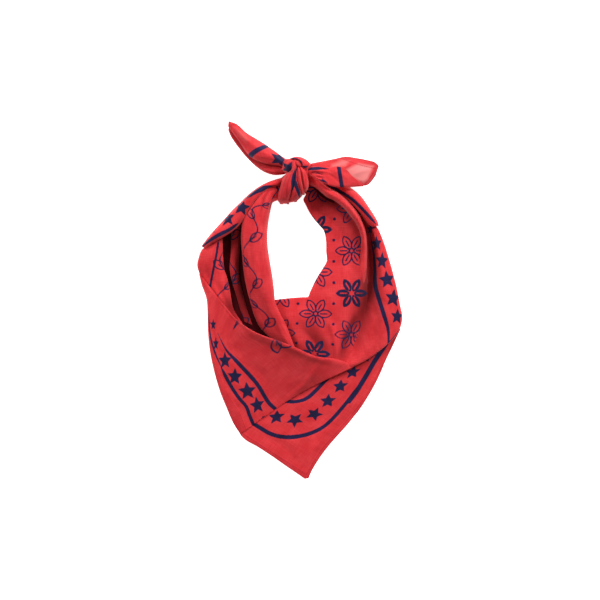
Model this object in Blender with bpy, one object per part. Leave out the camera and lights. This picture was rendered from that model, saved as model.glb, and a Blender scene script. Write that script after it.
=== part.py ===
"""A dog's neck scarf laid flat on a table: a square cotton bandana, folded on its diagonal into a
triangle, its two long ends tied in a knot and its point left as a bib.

Every visible stretch of the cloth is a wall. It is lofted through a short table of sections, and the
layers that the folds hide share one rounded solid with a flat underside and the neck opening through
it. Plan positions are read off a straight-down view, in pixels, and heights are in millimetres above
the table. +Z is up and +Y runs from the bib's point to the knot.
"""

import math
from collections import namedtuple

import bmesh
import bpy
from mathutils import Vector
from mathutils.bvhtree import BVHTree

MM = 0.001
# The scarf is a cotton square of 550 mm before it is folded and tied, and at that size its printed
# stars stand 20 mm apart.
STAR_PITCH = 20 * MM
STAR_PITCH_PX = 19.25
PIXEL = STAR_PITCH / STAR_PITCH_PX
PLAN_CENTRE_PX = (299.85, 300.15)

WALL = 1.2 * MM
TABLE_FOOT = 0.4  # height of a rolled edge's foot where it comes down to the table, in mm
ROLL_ANGLES = (-90, -35, 20, 60, 90)
MOST_ROLL = 0.4  # a rolled edge takes at most this share of the width

# One section across a stretch: its two edges in plan, the height of its top at the stretch's five
# stops from left to right, and the heights of the feet that its rolled edges come down to.
Section = namedtuple("Section", "left_x left_y right_x right_y z0 z1 z2 z3 z4 left_foot right_foot")

QUARTERS = (0.0, 0.25, 0.5, 0.75, 1.0)
BOWL = (0.0, 0.3, 0.62, 0.88, 1.0)

BIB_LOWER = [
    Section(304.5, 479.2, 308.6, 478.8, 2.8, 2.9, 3.0, 2.9, 2.8, 0, 0),
    Section(296.5, 473.6, 312.0, 471.0, 2.8, 3.2, 3.4, 3.2, 2.8, 0, 0),
    Section(285.0, 465.8, 318.5, 460.2, 2.8, 3.5, 3.8, 3.5, 2.8, 0, 0),
    Section(271.0, 456.0, 327.0, 448.5, 2.8, 3.6, 4.2, 3.7, 2.8, 0, 0),
    Section(257.5, 447.2, 336.5, 437.3, 2.8, 3.6, 4.4, 3.9, 2.8, 0, 0),
    Section(245.5, 440.4, 345.3, 427.6, 2.8, 3.6, 4.5, 4.0, 2.8, 0, 0),
    Section(241.0, 432.5, 353.5, 417.7, 2.8, 3.7, 4.6, 4.1, 2.8, 0, 0),
    Section(250.0, 421.0, 361.2, 407.8, 3.2, 4.2, 4.9, 4.3, 3.0, 0, 0),
    Section(271.0, 407.0, 368.8, 395.8, 4.0, 4.6, 5.0, 4.5, 3.2, 0, 0),
    Section(296.0, 390.5, 375.3, 384.3, 4.4, 4.8, 5.0, 4.6, 3.3, 0, 0),
    Section(322.0, 376.0, 381.5, 371.3, 4.6, 4.9, 5.0, 4.7, 3.4, 0, 0),
    Section(341.0, 366.0, 386.5, 359.5, 4.7, 4.9, 5.0, 4.7, 3.5, 0, 0),
    Section(361.0, 355.0, 392.6, 347.0, 4.7, 4.8, 4.8, 4.5, 3.6, 0, 0),
    Section(383.0, 341.0, 398.2, 334.8, 4.6, 4.6, 4.5, 4.2, 3.8, 0, 0),
    Section(397.5, 329.5, 401.0, 329.0, 4.2, 4.2, 4.2, 4.0, 3.8, 0, 0),
]

BIB_UPPER = [
    Section(198.8, 273.9, 203.3, 278.4, 9.5, 10.0, 10.4, 10.6, 10.6, TABLE_FOOT, 7.0),
    Section(201.5, 285.0, 212.0, 289.5, 10.5, 12.0, 13.0, 13.5, 13.5, TABLE_FOOT, 9.5),
    Section(206.0, 298.0, 223.5, 304.0, 11.5, 13.5, 15.0, 16.0, 16.2, TABLE_FOOT, 12.2),
    Section(207.3, 312.0, 238.0, 320.5, 12.5, 14.5, 16.0, 17.6, 18.5, TABLE_FOOT, 14.5),
    Section(207.6, 330.0, 256.0, 332.2, 13.0, 14.5, 15.5, 18.0, 20.5, TABLE_FOOT, 16.5),
    Section(209.5, 350.0, 276.0, 339.8, 12.5, 13.5, 14.0, 17.0, 21.0, TABLE_FOOT, 17.0),
    Section(213.5, 370.0, 295.0, 347.0, 11.5, 12.5, 13.0, 16.0, 21.0, TABLE_FOOT, 17.0),
    Section(219.5, 391.0, 315.0, 355.8, 10.5, 11.5, 12.2, 15.0, 20.0, TABLE_FOOT, 16.0),
    Section(226.5, 408.5, 333.0, 358.4, 9.5, 10.5, 11.5, 14.0, 18.5, 0.8, 14.5),
    Section(233.5, 423.5, 346.0, 362.0, 8.8, 9.8, 10.6, 12.8, 16.5, 2.0, 12.5),
    Section(239.0, 434.0, 353.0, 367.0, 8.4, 9.0, 9.8, 11.5, 13.5, 3.6, 9.5),
]

NECK_LEFT_SIDE = [
    Section(208.5, 244.5, 222.3, 238.0, 8.0, 10.0, 11.0, 9.5, 7.0, 3.0, 2.0),
    Section(201.6, 249.5, 222.6, 246.5, 9.0, 12.0, 12.6, 11.0, 7.5, TABLE_FOOT, 2.0),
    Section(198.2, 258.0, 223.0, 257.0, 9.0, 12.5, 12.8, 11.0, 7.5, TABLE_FOOT, 2.0),
    Section(197.0, 266.0, 224.5, 268.0, 8.0, 10.8, 11.6, 10.5, 7.5, TABLE_FOOT, 2.0),
    Section(200.8, 273.2, 228.0, 279.0, 6.2, 8.2, 9.8, 9.8, 7.5, 2.0, 2.0),
    Section(206.5, 281.5, 231.2, 289.0, 6.2, 7.6, 9.6, 10.2, 8.0, 3.0, 2.5),
    Section(214.0, 290.5, 234.5, 299.5, 7.6, 8.6, 10.0, 10.6, 8.5, 4.5, 3.5),
    Section(223.0, 300.5, 239.5, 310.5, 9.6, 10.2, 10.8, 11.0, 9.0, 6.0, 4.5),
    Section(233.0, 311.0, 242.5, 318.0, 10.5, 11.0, 11.4, 11.4, 10.0, 7.0, 6.0),
]

NECK_LEFT_OUTER = [
    Section(286.5, 176.0, 283.5, 185.0, 14.0, 15.0, 15.5, 15.0, 13.0, 9.0, 9.0),
    Section(279.0, 178.3, 276.8, 185.6, 16.0, 18.0, 19.0, 18.5, 15.0, 4.0, 9.0),
    Section(270.0, 181.0, 268.5, 188.0, 17.0, 21.0, 22.0, 21.0, 17.0, TABLE_FOOT, 9.0),
    Section(260.0, 185.8, 263.3, 192.4, 18.0, 22.5, 24.0, 22.5, 18.0, TABLE_FOOT, 9.0),
    Section(250.0, 192.8, 255.3, 200.5, 18.0, 23.0, 24.5, 23.0, 18.0, TABLE_FOOT, 10.0),
    Section(241.0, 201.5, 248.3, 210.4, 18.0, 23.0, 24.5, 23.0, 18.0, TABLE_FOOT, 11.0),
    Section(232.0, 210.2, 243.3, 220.2, 17.0, 22.5, 24.0, 23.0, 19.0, TABLE_FOOT, 12.0),
    Section(222.5, 220.8, 234.5, 230.5, 15.5, 21.5, 23.0, 22.5, 19.5, TABLE_FOOT, 14.0),
    Section(213.5, 230.5, 222.5, 238.5, 14.0, 20.0, 21.5, 21.5, 19.0, TABLE_FOOT, 14.4),
    Section(206.0, 239.5, 211.5, 243.8, 13.0, 17.5, 19.0, 19.0, 17.5, TABLE_FOOT, 13.8),
    Section(201.4, 246.2, 204.4, 247.8, 12.5, 14.5, 15.5, 16.0, 15.8, 11.0, 13.4),
]

NECK_LEFT_PLEAT = [
    Section(233.0, 228.5, 241.3, 223.5, 6.0, 8.0, 9.0, 8.5, 6.0, 1.6, 1.6),
    Section(231.8, 240.0, 240.4, 238.0, 7.0, 9.0, 10.0, 9.5, 7.0, 1.6, 1.6),
    Section(231.0, 255.0, 240.6, 254.0, 7.0, 9.5, 10.5, 9.5, 7.0, 1.6, 1.6),
    Section(231.2, 270.0, 242.0, 270.0, 6.5, 8.5, 9.5, 9.0, 6.5, 1.6, 1.6),
    Section(234.2, 283.0, 244.0, 283.0, 6.0, 7.5, 8.5, 8.0, 6.0, 1.6, 1.6),
    Section(240.5, 297.0, 247.6, 296.5, 5.0, 6.0, 6.6, 6.4, 5.0, 1.6, 1.6),
    Section(245.5, 310.0, 251.4, 309.5, 4.0, 4.8, 5.2, 5.0, 4.0, 1.6, 1.6),
]

NECK_LEFT_INNER = [
    Section(282.0, 186.2, 283.0, 198.5, 13.0, 15.0, 16.0, 15.0, 12.0, 9.0, 6.0),
    Section(275.5, 187.2, 277.0, 200.5, 15.0, 18.0, 19.0, 18.0, 14.0, 7.0, 3.0),
    Section(268.5, 189.2, 272.6, 202.8, 17.0, 21.5, 22.5, 21.5, 16.0, 5.0, TABLE_FOOT),
    Section(262.6, 193.6, 270.8, 209.0, 18.0, 23.5, 24.5, 23.0, 17.5, 4.0, TABLE_FOOT),
    Section(255.6, 201.2, 269.2, 217.0, 18.5, 24.5, 25.5, 24.5, 18.0, 3.0, TABLE_FOOT),
    Section(249.0, 211.0, 268.0, 226.0, 18.5, 24.5, 26.0, 25.0, 18.0, 3.0, TABLE_FOOT),
    Section(243.8, 221.0, 267.4, 235.0, 18.0, 24.0, 26.0, 25.0, 18.0, 3.0, TABLE_FOOT),
    Section(241.8, 238.5, 267.8, 247.0, 17.0, 23.0, 25.5, 24.5, 17.5, 3.0, TABLE_FOOT),
    Section(242.4, 257.0, 269.6, 259.5, 15.0, 21.5, 24.5, 24.0, 17.0, 3.0, TABLE_FOOT),
    Section(243.8, 273.5, 272.2, 275.0, 13.0, 19.0, 23.0, 23.0, 16.5, 3.0, TABLE_FOOT),
    Section(246.4, 288.0, 274.0, 289.0, 11.0, 16.0, 20.5, 21.5, 16.5, 3.0, TABLE_FOOT),
    Section(250.0, 302.0, 275.4, 302.0, 9.5, 13.5, 17.5, 19.5, 16.5, 2.6, 5.6),
    Section(253.8, 315.0, 280.8, 314.5, 8.5, 11.0, 14.5, 17.5, 16.0, 2.6, 7.6),
    Section(259.5, 327.0, 286.6, 326.0, 8.0, 9.5, 12.5, 15.8, 15.0, 3.0, 9.4),
    Section(268.0, 336.0, 292.0, 340.0, 9.0, 10.0, 12.5, 15.0, 14.6, 5.0, 10.4),
    Section(274.0, 341.5, 295.5, 348.0, 9.5, 10.5, 12.0, 14.0, 13.8, 6.0, 10.4),
]

NECK_RIGHT_INNER = [
    Section(305.0, 187.0, 303.0, 176.5, 12.0, 13.0, 14.0, 15.0, 13.0, 10.0, 0),
    Section(307.6, 191.6, 307.4, 176.3, 10.5, 12.0, 14.5, 17.5, 13.0, 7.0, 0),
    Section(303.3, 199.0, 313.5, 177.6, 8.5, 11.0, 15.0, 20.5, 12.0, 3.0, 0),
    Section(306.0, 205.5, 324.5, 184.2, 7.0, 9.0, 15.5, 24.0, 9.0, TABLE_FOOT, 0),
    Section(309.3, 212.0, 337.0, 191.0, 6.2, 8.2, 15.0, 26.0, 7.0, TABLE_FOOT, 0),
    Section(313.8, 218.5, 350.0, 200.8, 5.8, 7.8, 14.5, 26.0, 6.0, TABLE_FOOT, 0),
    Section(318.8, 224.5, 359.8, 212.2, 5.5, 7.5, 14.0, 25.0, 5.5, TABLE_FOOT, 0),
    Section(324.0, 231.0, 366.4, 225.4, 5.2, 7.3, 13.5, 24.0, 5.2, TABLE_FOOT, 0),
    Section(326.0, 241.0, 369.4, 239.4, 5.2, 7.3, 13.0, 22.5, 5.2, TABLE_FOOT, 0),
    Section(326.2, 251.0, 370.0, 253.0, 5.2, 7.3, 12.5, 20.5, 5.2, TABLE_FOOT, 0),
    Section(326.8, 260.5, 370.0, 268.0, 5.2, 7.4, 12.0, 18.0, 5.2, TABLE_FOOT, 0),
    Section(322.5, 268.8, 370.0, 284.0, 5.2, 7.5, 11.8, 16.0, 5.4, TABLE_FOOT, 0),
    Section(317.5, 276.5, 368.0, 300.0, 5.2, 7.6, 11.4, 14.4, 5.8, TABLE_FOOT, 0),
]

COWL_INNER = [
    NECK_RIGHT_INNER[-1],
    Section(313.2, 285.0, 364.0, 316.0, 5.0, 7.8, 11.0, 13.2, 6.4, TABLE_FOOT, 0),
    Section(310.0, 292.0, 359.0, 332.0, 4.8, 7.8, 10.6, 12.4, 7.0, TABLE_FOOT, 0),
    Section(308.0, 296.6, 353.0, 348.0, 4.6, 7.6, 10.2, 12.0, 7.6, TABLE_FOOT, 0),
    Section(303.0, 297.0, 346.0, 361.5, 4.6, 7.4, 9.8, 11.6, 9.0, TABLE_FOOT, 0),
    Section(296.5, 297.4, 334.0, 361.5, 4.6, 7.2, 9.4, 11.4, 10.5, TABLE_FOOT, 0),
    Section(289.5, 298.0, 318.5, 359.5, 4.6, 6.8, 8.6, 10.8, 11.4, TABLE_FOOT, 0),
    Section(282.5, 298.8, 304.0, 354.5, 4.6, 6.2, 7.6, 9.8, 11.4, TABLE_FOOT, 0),
    Section(276.0, 299.6, 292.5, 349.0, 4.4, 5.6, 6.6, 8.2, 9.4, 1.0, 0),
    Section(270.5, 301.0, 283.5, 344.5, 3.8, 4.6, 5.4, 6.6, 7.6, 1.6, 0),
]

NECK_RIGHT_OUTER = [
    Section(361.2, 213.6, 366.4, 214.4, 5.0, 6.5, 7.5, 7.0, 6.0, 0, 1.6),
    Section(367.4, 226.0, 377.2, 227.2, 5.2, 7.0, 9.0, 9.5, 8.0, 0, TABLE_FOOT),
    Section(370.2, 239.5, 383.4, 240.8, 5.2, 7.5, 11.0, 12.0, 9.0, 0, TABLE_FOOT),
    Section(370.8, 253.0, 387.6, 254.0, 5.2, 8.0, 12.0, 13.5, 10.0, 0, TABLE_FOOT),
    Section(370.8, 268.0, 391.6, 268.0, 5.2, 8.0, 12.2, 13.8, 10.4, 0, TABLE_FOOT),
    Section(370.8, 284.2, 396.0, 285.0, 5.4, 8.2, 12.4, 14.0, 10.6, 0, TABLE_FOOT),
    Section(368.8, 300.4, 399.8, 303.0, 5.8, 8.2, 12.2, 14.0, 10.8, 0, TABLE_FOOT),
    Section(364.4, 316.2, 402.3, 319.5, 6.4, 8.4, 12.0, 13.8, 11.0, 0, 2.0),
    Section(359.4, 332.2, 396.4, 335.5, 7.0, 9.0, 12.0, 13.4, 12.0, 0, 7.6),
    Section(353.9, 348.4, 383.5, 347.6, 7.6, 9.8, 12.0, 13.2, 12.6, 0, 8.2),
    Section(348.2, 361.4, 366.0, 360.6, 9.0, 10.6, 11.8, 12.6, 12.2, 0, 8.2),
]

NECK_RIGHT_EDGE = [
    Section(325.4, 182.8, 335.0, 177.5, 12.0, 13.0, 14.0, 13.0, 10.0, 9.4, TABLE_FOOT),
    Section(339.0, 190.4, 347.0, 184.6, 12.0, 14.0, 15.0, 14.0, 10.0, 9.4, TABLE_FOOT),
    Section(352.4, 200.4, 360.0, 195.0, 12.0, 15.0, 16.5, 15.0, 10.5, 9.4, TABLE_FOOT),
    Section(361.8, 211.8, 369.0, 208.4, 12.5, 15.0, 16.5, 15.0, 10.5, 9.6, TABLE_FOOT),
    Section(368.0, 221.6, 375.2, 218.2, 13.0, 14.5, 15.5, 14.5, 11.0, 10.0, TABLE_FOOT),
    Section(374.0, 225.8, 378.2, 224.4, 13.0, 13.6, 14.0, 13.6, 12.0, 10.4, 10.0),
]

KNOT_WRAP = [
    Section(293.8, 166.4, 300.6, 165.8, 30.0, 32.5, 33.5, 32.5, 30.0, 27.5, 27.5),
    Section(291.2, 171.0, 305.2, 170.5, 29.0, 34.0, 37.0, 35.5, 29.0, 25.0, 22.5),
    Section(284.6, 175.8, 307.6, 176.5, 27.0, 34.5, 38.0, 36.0, 28.0, 20.0, 21.0),
    Section(282.4, 182.5, 308.9, 183.0, 26.0, 34.0, 38.0, 35.5, 27.0, 20.0, 21.0),
    Section(280.2, 189.0, 308.4, 188.8, 25.0, 33.0, 36.5, 34.0, 26.0, 19.4, 18.0),
    Section(278.0, 195.0, 305.0, 193.8, 24.0, 31.0, 34.5, 31.5, 23.0, 17.5, 8.0),
    Section(277.2, 200.0, 298.6, 198.4, 21.0, 27.0, 29.5, 27.0, 19.0, 15.2, 3.0),
    Section(280.0, 203.4, 291.5, 202.0, 16.0, 19.0, 20.5, 19.0, 15.0, 3.0, 2.0),
]

KNOT_TOP = [
    Section(289.6, 158.9, 291.2, 160.0, 18.0, 20.0, 21.0, 20.5, 20.0, 12.0, 19.0),
    Section(296.0, 157.0, 296.8, 159.9, 22.0, 25.5, 27.0, 26.5, 25.0, 8.0, 23.0),
    Section(302.4, 158.4, 300.4, 162.4, 24.0, 29.0, 31.0, 30.5, 28.5, 12.0, 25.0),
    Section(307.2, 161.2, 302.6, 166.2, 26.0, 30.5, 32.0, 31.5, 29.5, 20.0, 25.8),
    Section(310.8, 164.6, 305.0, 169.2, 27.4, 29.7, 31.0, 30.5, 28.5, 25.2, 25.6),
    Section(312.0, 167.2, 307.0, 171.6, 27.2, 28.4, 29.2, 28.8, 27.9, 26.1, 26.1),
]

KNOT_LEFT = [
    Section(285.6, 160.4, 283.0, 170.8, 23.6, 25.6, 26.4, 25.2, 21.0, 22.6, 15.6),
    Section(288.6, 159.9, 285.4, 173.0, 25.0, 28.4, 29.6, 28.0, 23.0, 22.8, 15.0),
    Section(292.0, 160.3, 289.4, 171.4, 26.0, 30.4, 31.8, 30.4, 27.0, 23.4, 20.0),
    Section(295.6, 161.2, 292.2, 167.2, 27.0, 31.4, 33.0, 32.0, 30.0, 25.0, 26.0),
    Section(298.0, 163.0, 295.4, 165.4, 28.0, 30.5, 31.5, 31.0, 30.0, 27.0, 27.0),
]

TAIL_LEFT_UPPER = [
    Section(228.6, 121.0, 228.4, 125.4, 4.6, 5.0, 5.2, 5.0, 4.6, 3.0, 3.0),
    Section(235.5, 123.6, 233.6, 134.0, 6.0, 8.0, 9.0, 8.4, 6.4, 3.2, 3.4),
    Section(243.0, 129.0, 240.6, 142.5, 7.0, 10.5, 12.0, 11.0, 8.0, 3.4, 4.4),
    Section(251.0, 136.0, 247.8, 152.5, 8.5, 13.0, 15.0, 13.5, 10.0, 4.0, 6.0),
    Section(260.0, 141.3, 256.5, 159.4, 10.0, 15.5, 18.0, 16.5, 12.5, 5.0, 8.0),
    Section(268.5, 146.4, 266.0, 163.2, 12.0, 17.5, 20.0, 18.5, 15.0, 6.0, 10.4),
    Section(277.0, 152.8, 275.5, 165.0, 14.0, 18.5, 21.0, 20.0, 17.0, 8.0, 12.4),
    Section(284.0, 158.6, 282.8, 167.5, 15.0, 19.0, 21.5, 20.5, 18.0, 10.0, 13.4),
    Section(290.5, 161.6, 289.0, 169.5, 15.6, 19.4, 21.4, 20.2, 17.6, 11.0, 13.0),
]

TAIL_LEFT_UNDER = [
    Section(229.2, 123.5, 228.0, 129.6, 1.8, 1.9, 2.0, 1.9, 1.8, TABLE_FOOT, TABLE_FOOT),
    Section(234.0, 130.0, 231.6, 137.6, 2.0, 2.4, 3.0, 3.4, 3.0, TABLE_FOOT, TABLE_FOOT),
    Section(241.5, 138.5, 239.2, 148.2, 2.6, 3.4, 4.6, 5.6, 4.6, TABLE_FOOT, TABLE_FOOT),
    Section(249.0, 148.5, 247.0, 157.6, 4.0, 5.0, 6.4, 7.6, 6.0, 1.0, 1.0),
    Section(257.0, 155.5, 255.0, 165.4, 5.6, 6.8, 8.6, 9.8, 8.0, 2.0, 2.0),
    Section(266.0, 159.2, 263.8, 171.6, 7.6, 9.0, 10.8, 12.0, 10.0, 4.0, 4.0),
    Section(275.0, 161.0, 273.6, 174.8, 9.2, 10.6, 12.4, 13.4, 11.0, 6.0, 6.0),
    Section(282.5, 163.2, 282.0, 174.6, 10.2, 11.4, 13.0, 13.8, 11.4, 7.0, 7.0),
    Section(288.0, 165.4, 287.4, 173.2, 9.6, 10.6, 11.6, 12.0, 10.4, 7.0, 7.0),
]

TAIL_RIGHT = [
    Section(304.5, 164.6, 303.5, 171.0, 20.0, 21.6, 22.2, 21.6, 20.0, 17.0, 17.0),
    Section(309.5, 163.8, 308.0, 173.0, 21.0, 23.2, 24.0, 23.6, 22.0, 17.5, 18.5),
    Section(317.5, 162.6, 315.0, 177.0, 23.0, 27.0, 28.5, 28.0, 29.4, 17.5, 26.6),
    Section(326.0, 161.2, 322.5, 182.0, 23.0, 27.5, 29.5, 30.0, 31.0, 17.5, 28.0),
    Section(335.5, 159.2, 332.0, 186.8, 21.5, 26.5, 29.0, 30.0, 31.4, 17.0, 28.4),
    Section(345.5, 157.0, 342.5, 187.5, 19.0, 24.0, 26.5, 27.0, 26.0, 16.0, 22.6),
    Section(356.0, 158.0, 352.5, 187.0, 16.0, 20.5, 23.0, 23.0, 20.0, 14.0, 17.6),
    Section(366.0, 159.6, 362.0, 185.9, 12.5, 16.0, 18.0, 18.0, 14.5, 11.0, 12.6),
    Section(374.5, 161.7, 369.0, 184.0, 9.0, 11.0, 12.0, 11.5, 8.5, 7.0, 7.0),
    Section(379.0, 165.8, 375.6, 176.0, 5.5, 6.0, 6.5, 6.2, 5.5, 4.0, 4.0),
]

# The hidden layers: a closed ring of radial sections from the neck opening to the outer edge, both
# a little inside what shows.
CORE = [
    ((291.5, 196.5), (296.0, 167.0)),
    ((300.5, 188.0), (309.0, 174.0)),
    ((312.0, 199.5), (330.0, 188.0)),
    ((313.5, 210.5), (350.0, 194.5)),
    ((320.5, 219.0), (360.5, 210.5)),
    ((329.0, 228.0), (371.0, 228.5)),
    ((331.5, 240.0), (378.0, 241.5)),
    ((331.5, 252.0), (382.0, 254.5)),
    ((331.5, 262.5), (386.5, 271.0)),
    ((326.0, 272.0), (391.0, 289.0)),
    ((321.0, 280.0), (395.0, 308.0)),
    ((317.0, 288.5), (393.5, 330.0)),
    ((314.0, 296.0), (385.0, 354.0)),
    ((311.0, 301.5), (373.0, 384.0)),
    ((304.0, 302.2), (350.0, 419.0)),
    ((298.0, 302.6), (325.0, 448.0)),
    ((292.0, 303.2), (306.5, 474.0)),
    ((286.0, 303.8), (282.0, 461.0)),
    ((279.5, 304.2), (253.0, 441.0)),
    ((270.5, 305.0), (233.0, 408.0)),
    ((268.0, 297.0), (219.0, 362.0)),
    ((267.5, 287.0), (215.0, 318.0)),
    ((265.5, 275.0), (210.0, 288.0)),
    ((263.0, 261.0), (204.0, 264.0)),
    ((261.5, 248.0), (207.0, 252.0)),
    ((261.0, 236.0), (217.5, 236.0)),
    ((261.2, 226.0), (232.5, 219.5)),
    ((262.4, 217.0), (247.0, 205.0)),
    ((264.4, 208.0), (259.0, 194.0)),
    ((266.5, 197.5), (271.5, 186.5)),
    ((281.5, 196.5), (284.5, 173.0)),
]
CORE_ACROSS = 8  # steps from the neck opening to the outer edge
PROBES = 4  # rays to a step, both ways, that look for the room under the walls
CORE_EDGE = 1.0 * MM  # its thickness at both edges
CORE_CLEARANCE = 0.45 * MM
BELOW = -1 * MM  # where the rays that look for room start


def plan(x, y):
    """A point of the straight-down view, in metres from the middle of the scarf."""
    return (x - PLAN_CENTRE_PX[0]) * PIXEL, (PLAN_CENTRE_PX[1] - y) * PIXEL


def catmull(before, start, end, after, part):
    """The value a part of the way from start to end, on a smooth curve through all four."""
    rise = (end - before) / 2
    fall = (after - start) / 2
    step = end - start
    return start + part * (rise + part * (3 * step - 2 * rise - fall + part * (rise + fall - 2 * step)))


def section_at(sections, position):
    """The section at a fractional row number, on smooth curves through the table's rows."""
    last = len(sections) - 1
    row = min(int(position), last - 1)
    four = [sections[min(max(row + shift, 0), last)] for shift in (-1, 0, 1, 2)]
    return Section(*(catmull(*values, position - row) for values in zip(*four)))


def height_at(stops, heights, fraction):
    """The height at a fraction across, on a curve through the stops that never overshoots them."""
    spans = [after - before for before, after in zip(stops, stops[1:])]
    slopes = [(b - a) / span for a, b, span in zip(heights, heights[1:], spans)]
    turns = [slopes[0]]
    for left, right in zip(slopes, slopes[1:]):
        turns.append(2 * left * right / (left + right) if left * right > 0 else 0.0)
    turns.append(slopes[-1])
    span = max(0, min(len(spans) - 1, sum(fraction >= stop for stop in stops) - 1))
    width = spans[span]
    part = (fraction - stops[span]) / width
    start, end = heights[span], heights[span + 1]
    rise, fall = turns[span] * width, turns[span + 1] * width
    step = end - start
    return start + part * (rise + part * (3 * step - 2 * rise - fall + part * (rise + fall - 2 * step)))


def steps_over(length, first_roll, last_roll, spans):
    """Places along a length, each with the side it rolls down on and how much height it keeps.

    A rolled edge is half an ellipse in section, from its foot round to its shoulder.
    """
    first_roll = min(first_roll, MOST_ROLL * length)
    last_roll = min(last_roll, MOST_ROLL * length)
    steps = []
    if first_roll:
        for angle in map(math.radians, ROLL_ANGLES[:-1]):
            steps.append((first_roll * (1 - math.cos(angle)) / length, -1, (1 + math.sin(angle)) / 2))
    flat_start, flat_end = first_roll / length, 1 - last_roll / length
    for step in range(spans + 1):
        steps.append((flat_start + (flat_end - flat_start) * step / spans, 0, 1.0))
    if last_roll:
        for angle in map(math.radians, ROLL_ANGLES[-2::-1]):
            steps.append((1 - last_roll * (1 - math.cos(angle)) / length, 1, (1 + math.sin(angle)) / 2))
    return steps


def loft(sections, stops, left_roll, right_roll, end_roll, end_foot, seam, along, across):
    """Rows of points over a stretch. Rolls, the height an end comes down to and seams are in mm."""
    middles = [plan((s.left_x + s.right_x) / 2, (s.left_y + s.right_y) / 2) for s in sections]
    length = sum(math.dist(a, b) for a, b in zip(middles, middles[1:]))
    rows = []
    trim = seam * MM / length
    for at, _, end_keep in steps_over(length, 0, end_roll * MM, along):
        here = section_at(sections, (trim + at * (1 - trim)) * (len(sections) - 1))
        left, right = plan(here.left_x, here.left_y), plan(here.right_x, here.right_y)
        width = math.dist(left, right)
        heights = here[4:9]
        row = []
        for fraction, side, keep in steps_over(width, left_roll * MM, right_roll * MM, across):
            top = height_at(stops, heights, fraction)
            foot = max(here.left_foot if side < 0 else here.right_foot, TABLE_FOOT)
            height = foot + (top - foot) * keep if side else top
            height = end_foot + (height - end_foot) * end_keep if end_keep < 1 else height
            x = left[0] + (right[0] - left[0]) * fraction
            y = left[1] + (right[1] - left[1]) * fraction
            row.append(Vector((x, y, height * MM)))
        rows.append(row)
    return rows


def add_object(name, mesh, material):
    piece = bpy.data.objects.new(name, mesh)
    bpy.context.scene.collection.objects.link(piece)
    mesh.materials.append(material)
    mesh.shade_smooth()
    return piece


def wall(name, rows, material):
    """Cloth: a sheet through the rows of points, thickened downwards and inwards."""
    mesh = bpy.data.meshes.new(name)
    across = len(rows[0])
    faces = []
    for row in range(len(rows) - 1):
        for column in range(across - 1):
            start = row * across + column
            faces.append((start, start + 1, start + across + 1, start + across))
    mesh.from_pydata([point for row in rows for point in row], [], faces)
    if sum(face.normal.z * face.area for face in mesh.polygons) < 0:
        mesh.flip_normals()
    piece = add_object(name, mesh, material)
    thicken = piece.modifiers.new("cloth_thickness", "SOLIDIFY")
    thicken.thickness = WALL
    thicken.offset = -1
    return piece


def cotton(name, colour, roughness=0.85):
    material = bpy.data.materials.new(name)
    material.use_nodes = True
    shader = material.node_tree.nodes["Principled BSDF"]
    shader.inputs["Base Color"].default_value = (*colour, 1)
    shader.inputs["Roughness"].default_value = roughness
    shader.inputs["Metallic"].default_value = 0
    return material


def hidden_layers(walls, material):
    """The folds that nothing shows: one rounded ring that fills the room under the walls."""
    graph = bpy.context.evaluated_depsgraph_get()
    trees = [BVHTree.FromObject(piece, graph) for piece in walls]

    def room(point):
        """The height that is free over a point of the table."""
        hits = [tree.ray_cast(Vector((*point, BELOW)), Vector((0, 0, 1)))[0] for tree in trees]
        heights = [hit.z for hit in hits if hit]
        return min(heights) - CORE_CLEARANCE if heights else CORE_EDGE

    def spoke(position):
        """The points of the core, from the opening outwards, at a fractional row of the table."""
        before, after = CORE[int(position)], CORE[math.ceil(position) % len(CORE)]
        ends = [Vector(plan(*one)).lerp(Vector(plan(*other)), position % 1) for one, other in zip(before, after)]
        return [ends[0].lerp(ends[1], probe / (CORE_ACROSS * PROBES)) for probe in range(CORE_ACROSS * PROBES + 1)]

    spokes = [spoke(probe / PROBES) for probe in range(PROBES * len(CORE))]
    rooms = [[room(point) for point in points] for points in spokes]
    mesh = bmesh.new()
    tops, bottoms = [], []
    for number in range(0, len(spokes), PROBES):
        around = [rooms[(number + shift) % len(spokes)] for shift in range(-PROBES, PROBES + 1)]
        top, bottom = [], []
        for column in range(0, CORE_ACROSS * PROBES + 1, PROBES):
            least = min(min(row[max(column - PROBES, 0) : column + PROBES + 1]) for row in around)
            at_edge = column in (0, CORE_ACROSS * PROBES)
            height = CORE_EDGE if at_edge else max(least, CORE_EDGE)
            top.append(mesh.verts.new((*spokes[number][column], height)))
            bottom.append(mesh.verts.new((*spokes[number][column], 0)))
        tops.append(top)
        bottoms.append(bottom)
    for number in range(len(tops)):
        after = (number + 1) % len(tops)
        for column in range(CORE_ACROSS):
            for layer in (tops, bottoms):
                corners = [layer[number][column], layer[number][column + 1]]
                corners += [layer[after][column + 1], layer[after][column]]
                mesh.faces.new(corners)
        for column in (0, CORE_ACROSS):
            corners = [tops[number][column], tops[after][column]]
            mesh.faces.new(corners + [bottoms[after][column], bottoms[number][column]])
    bmesh.ops.recalc_face_normals(mesh, faces=mesh.faces)
    data = bpy.data.meshes.new("hidden_layers")
    mesh.to_mesh(data)
    mesh.free()
    return add_object("hidden_layers", data, material)


for old in list(bpy.data.objects):
    bpy.data.objects.remove(old)

red_print = cotton("red_cotton_print", (0.62, 0.045, 0.055))
red_shade = cotton("red_cotton_inside", (0.42, 0.02, 0.03))

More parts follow.
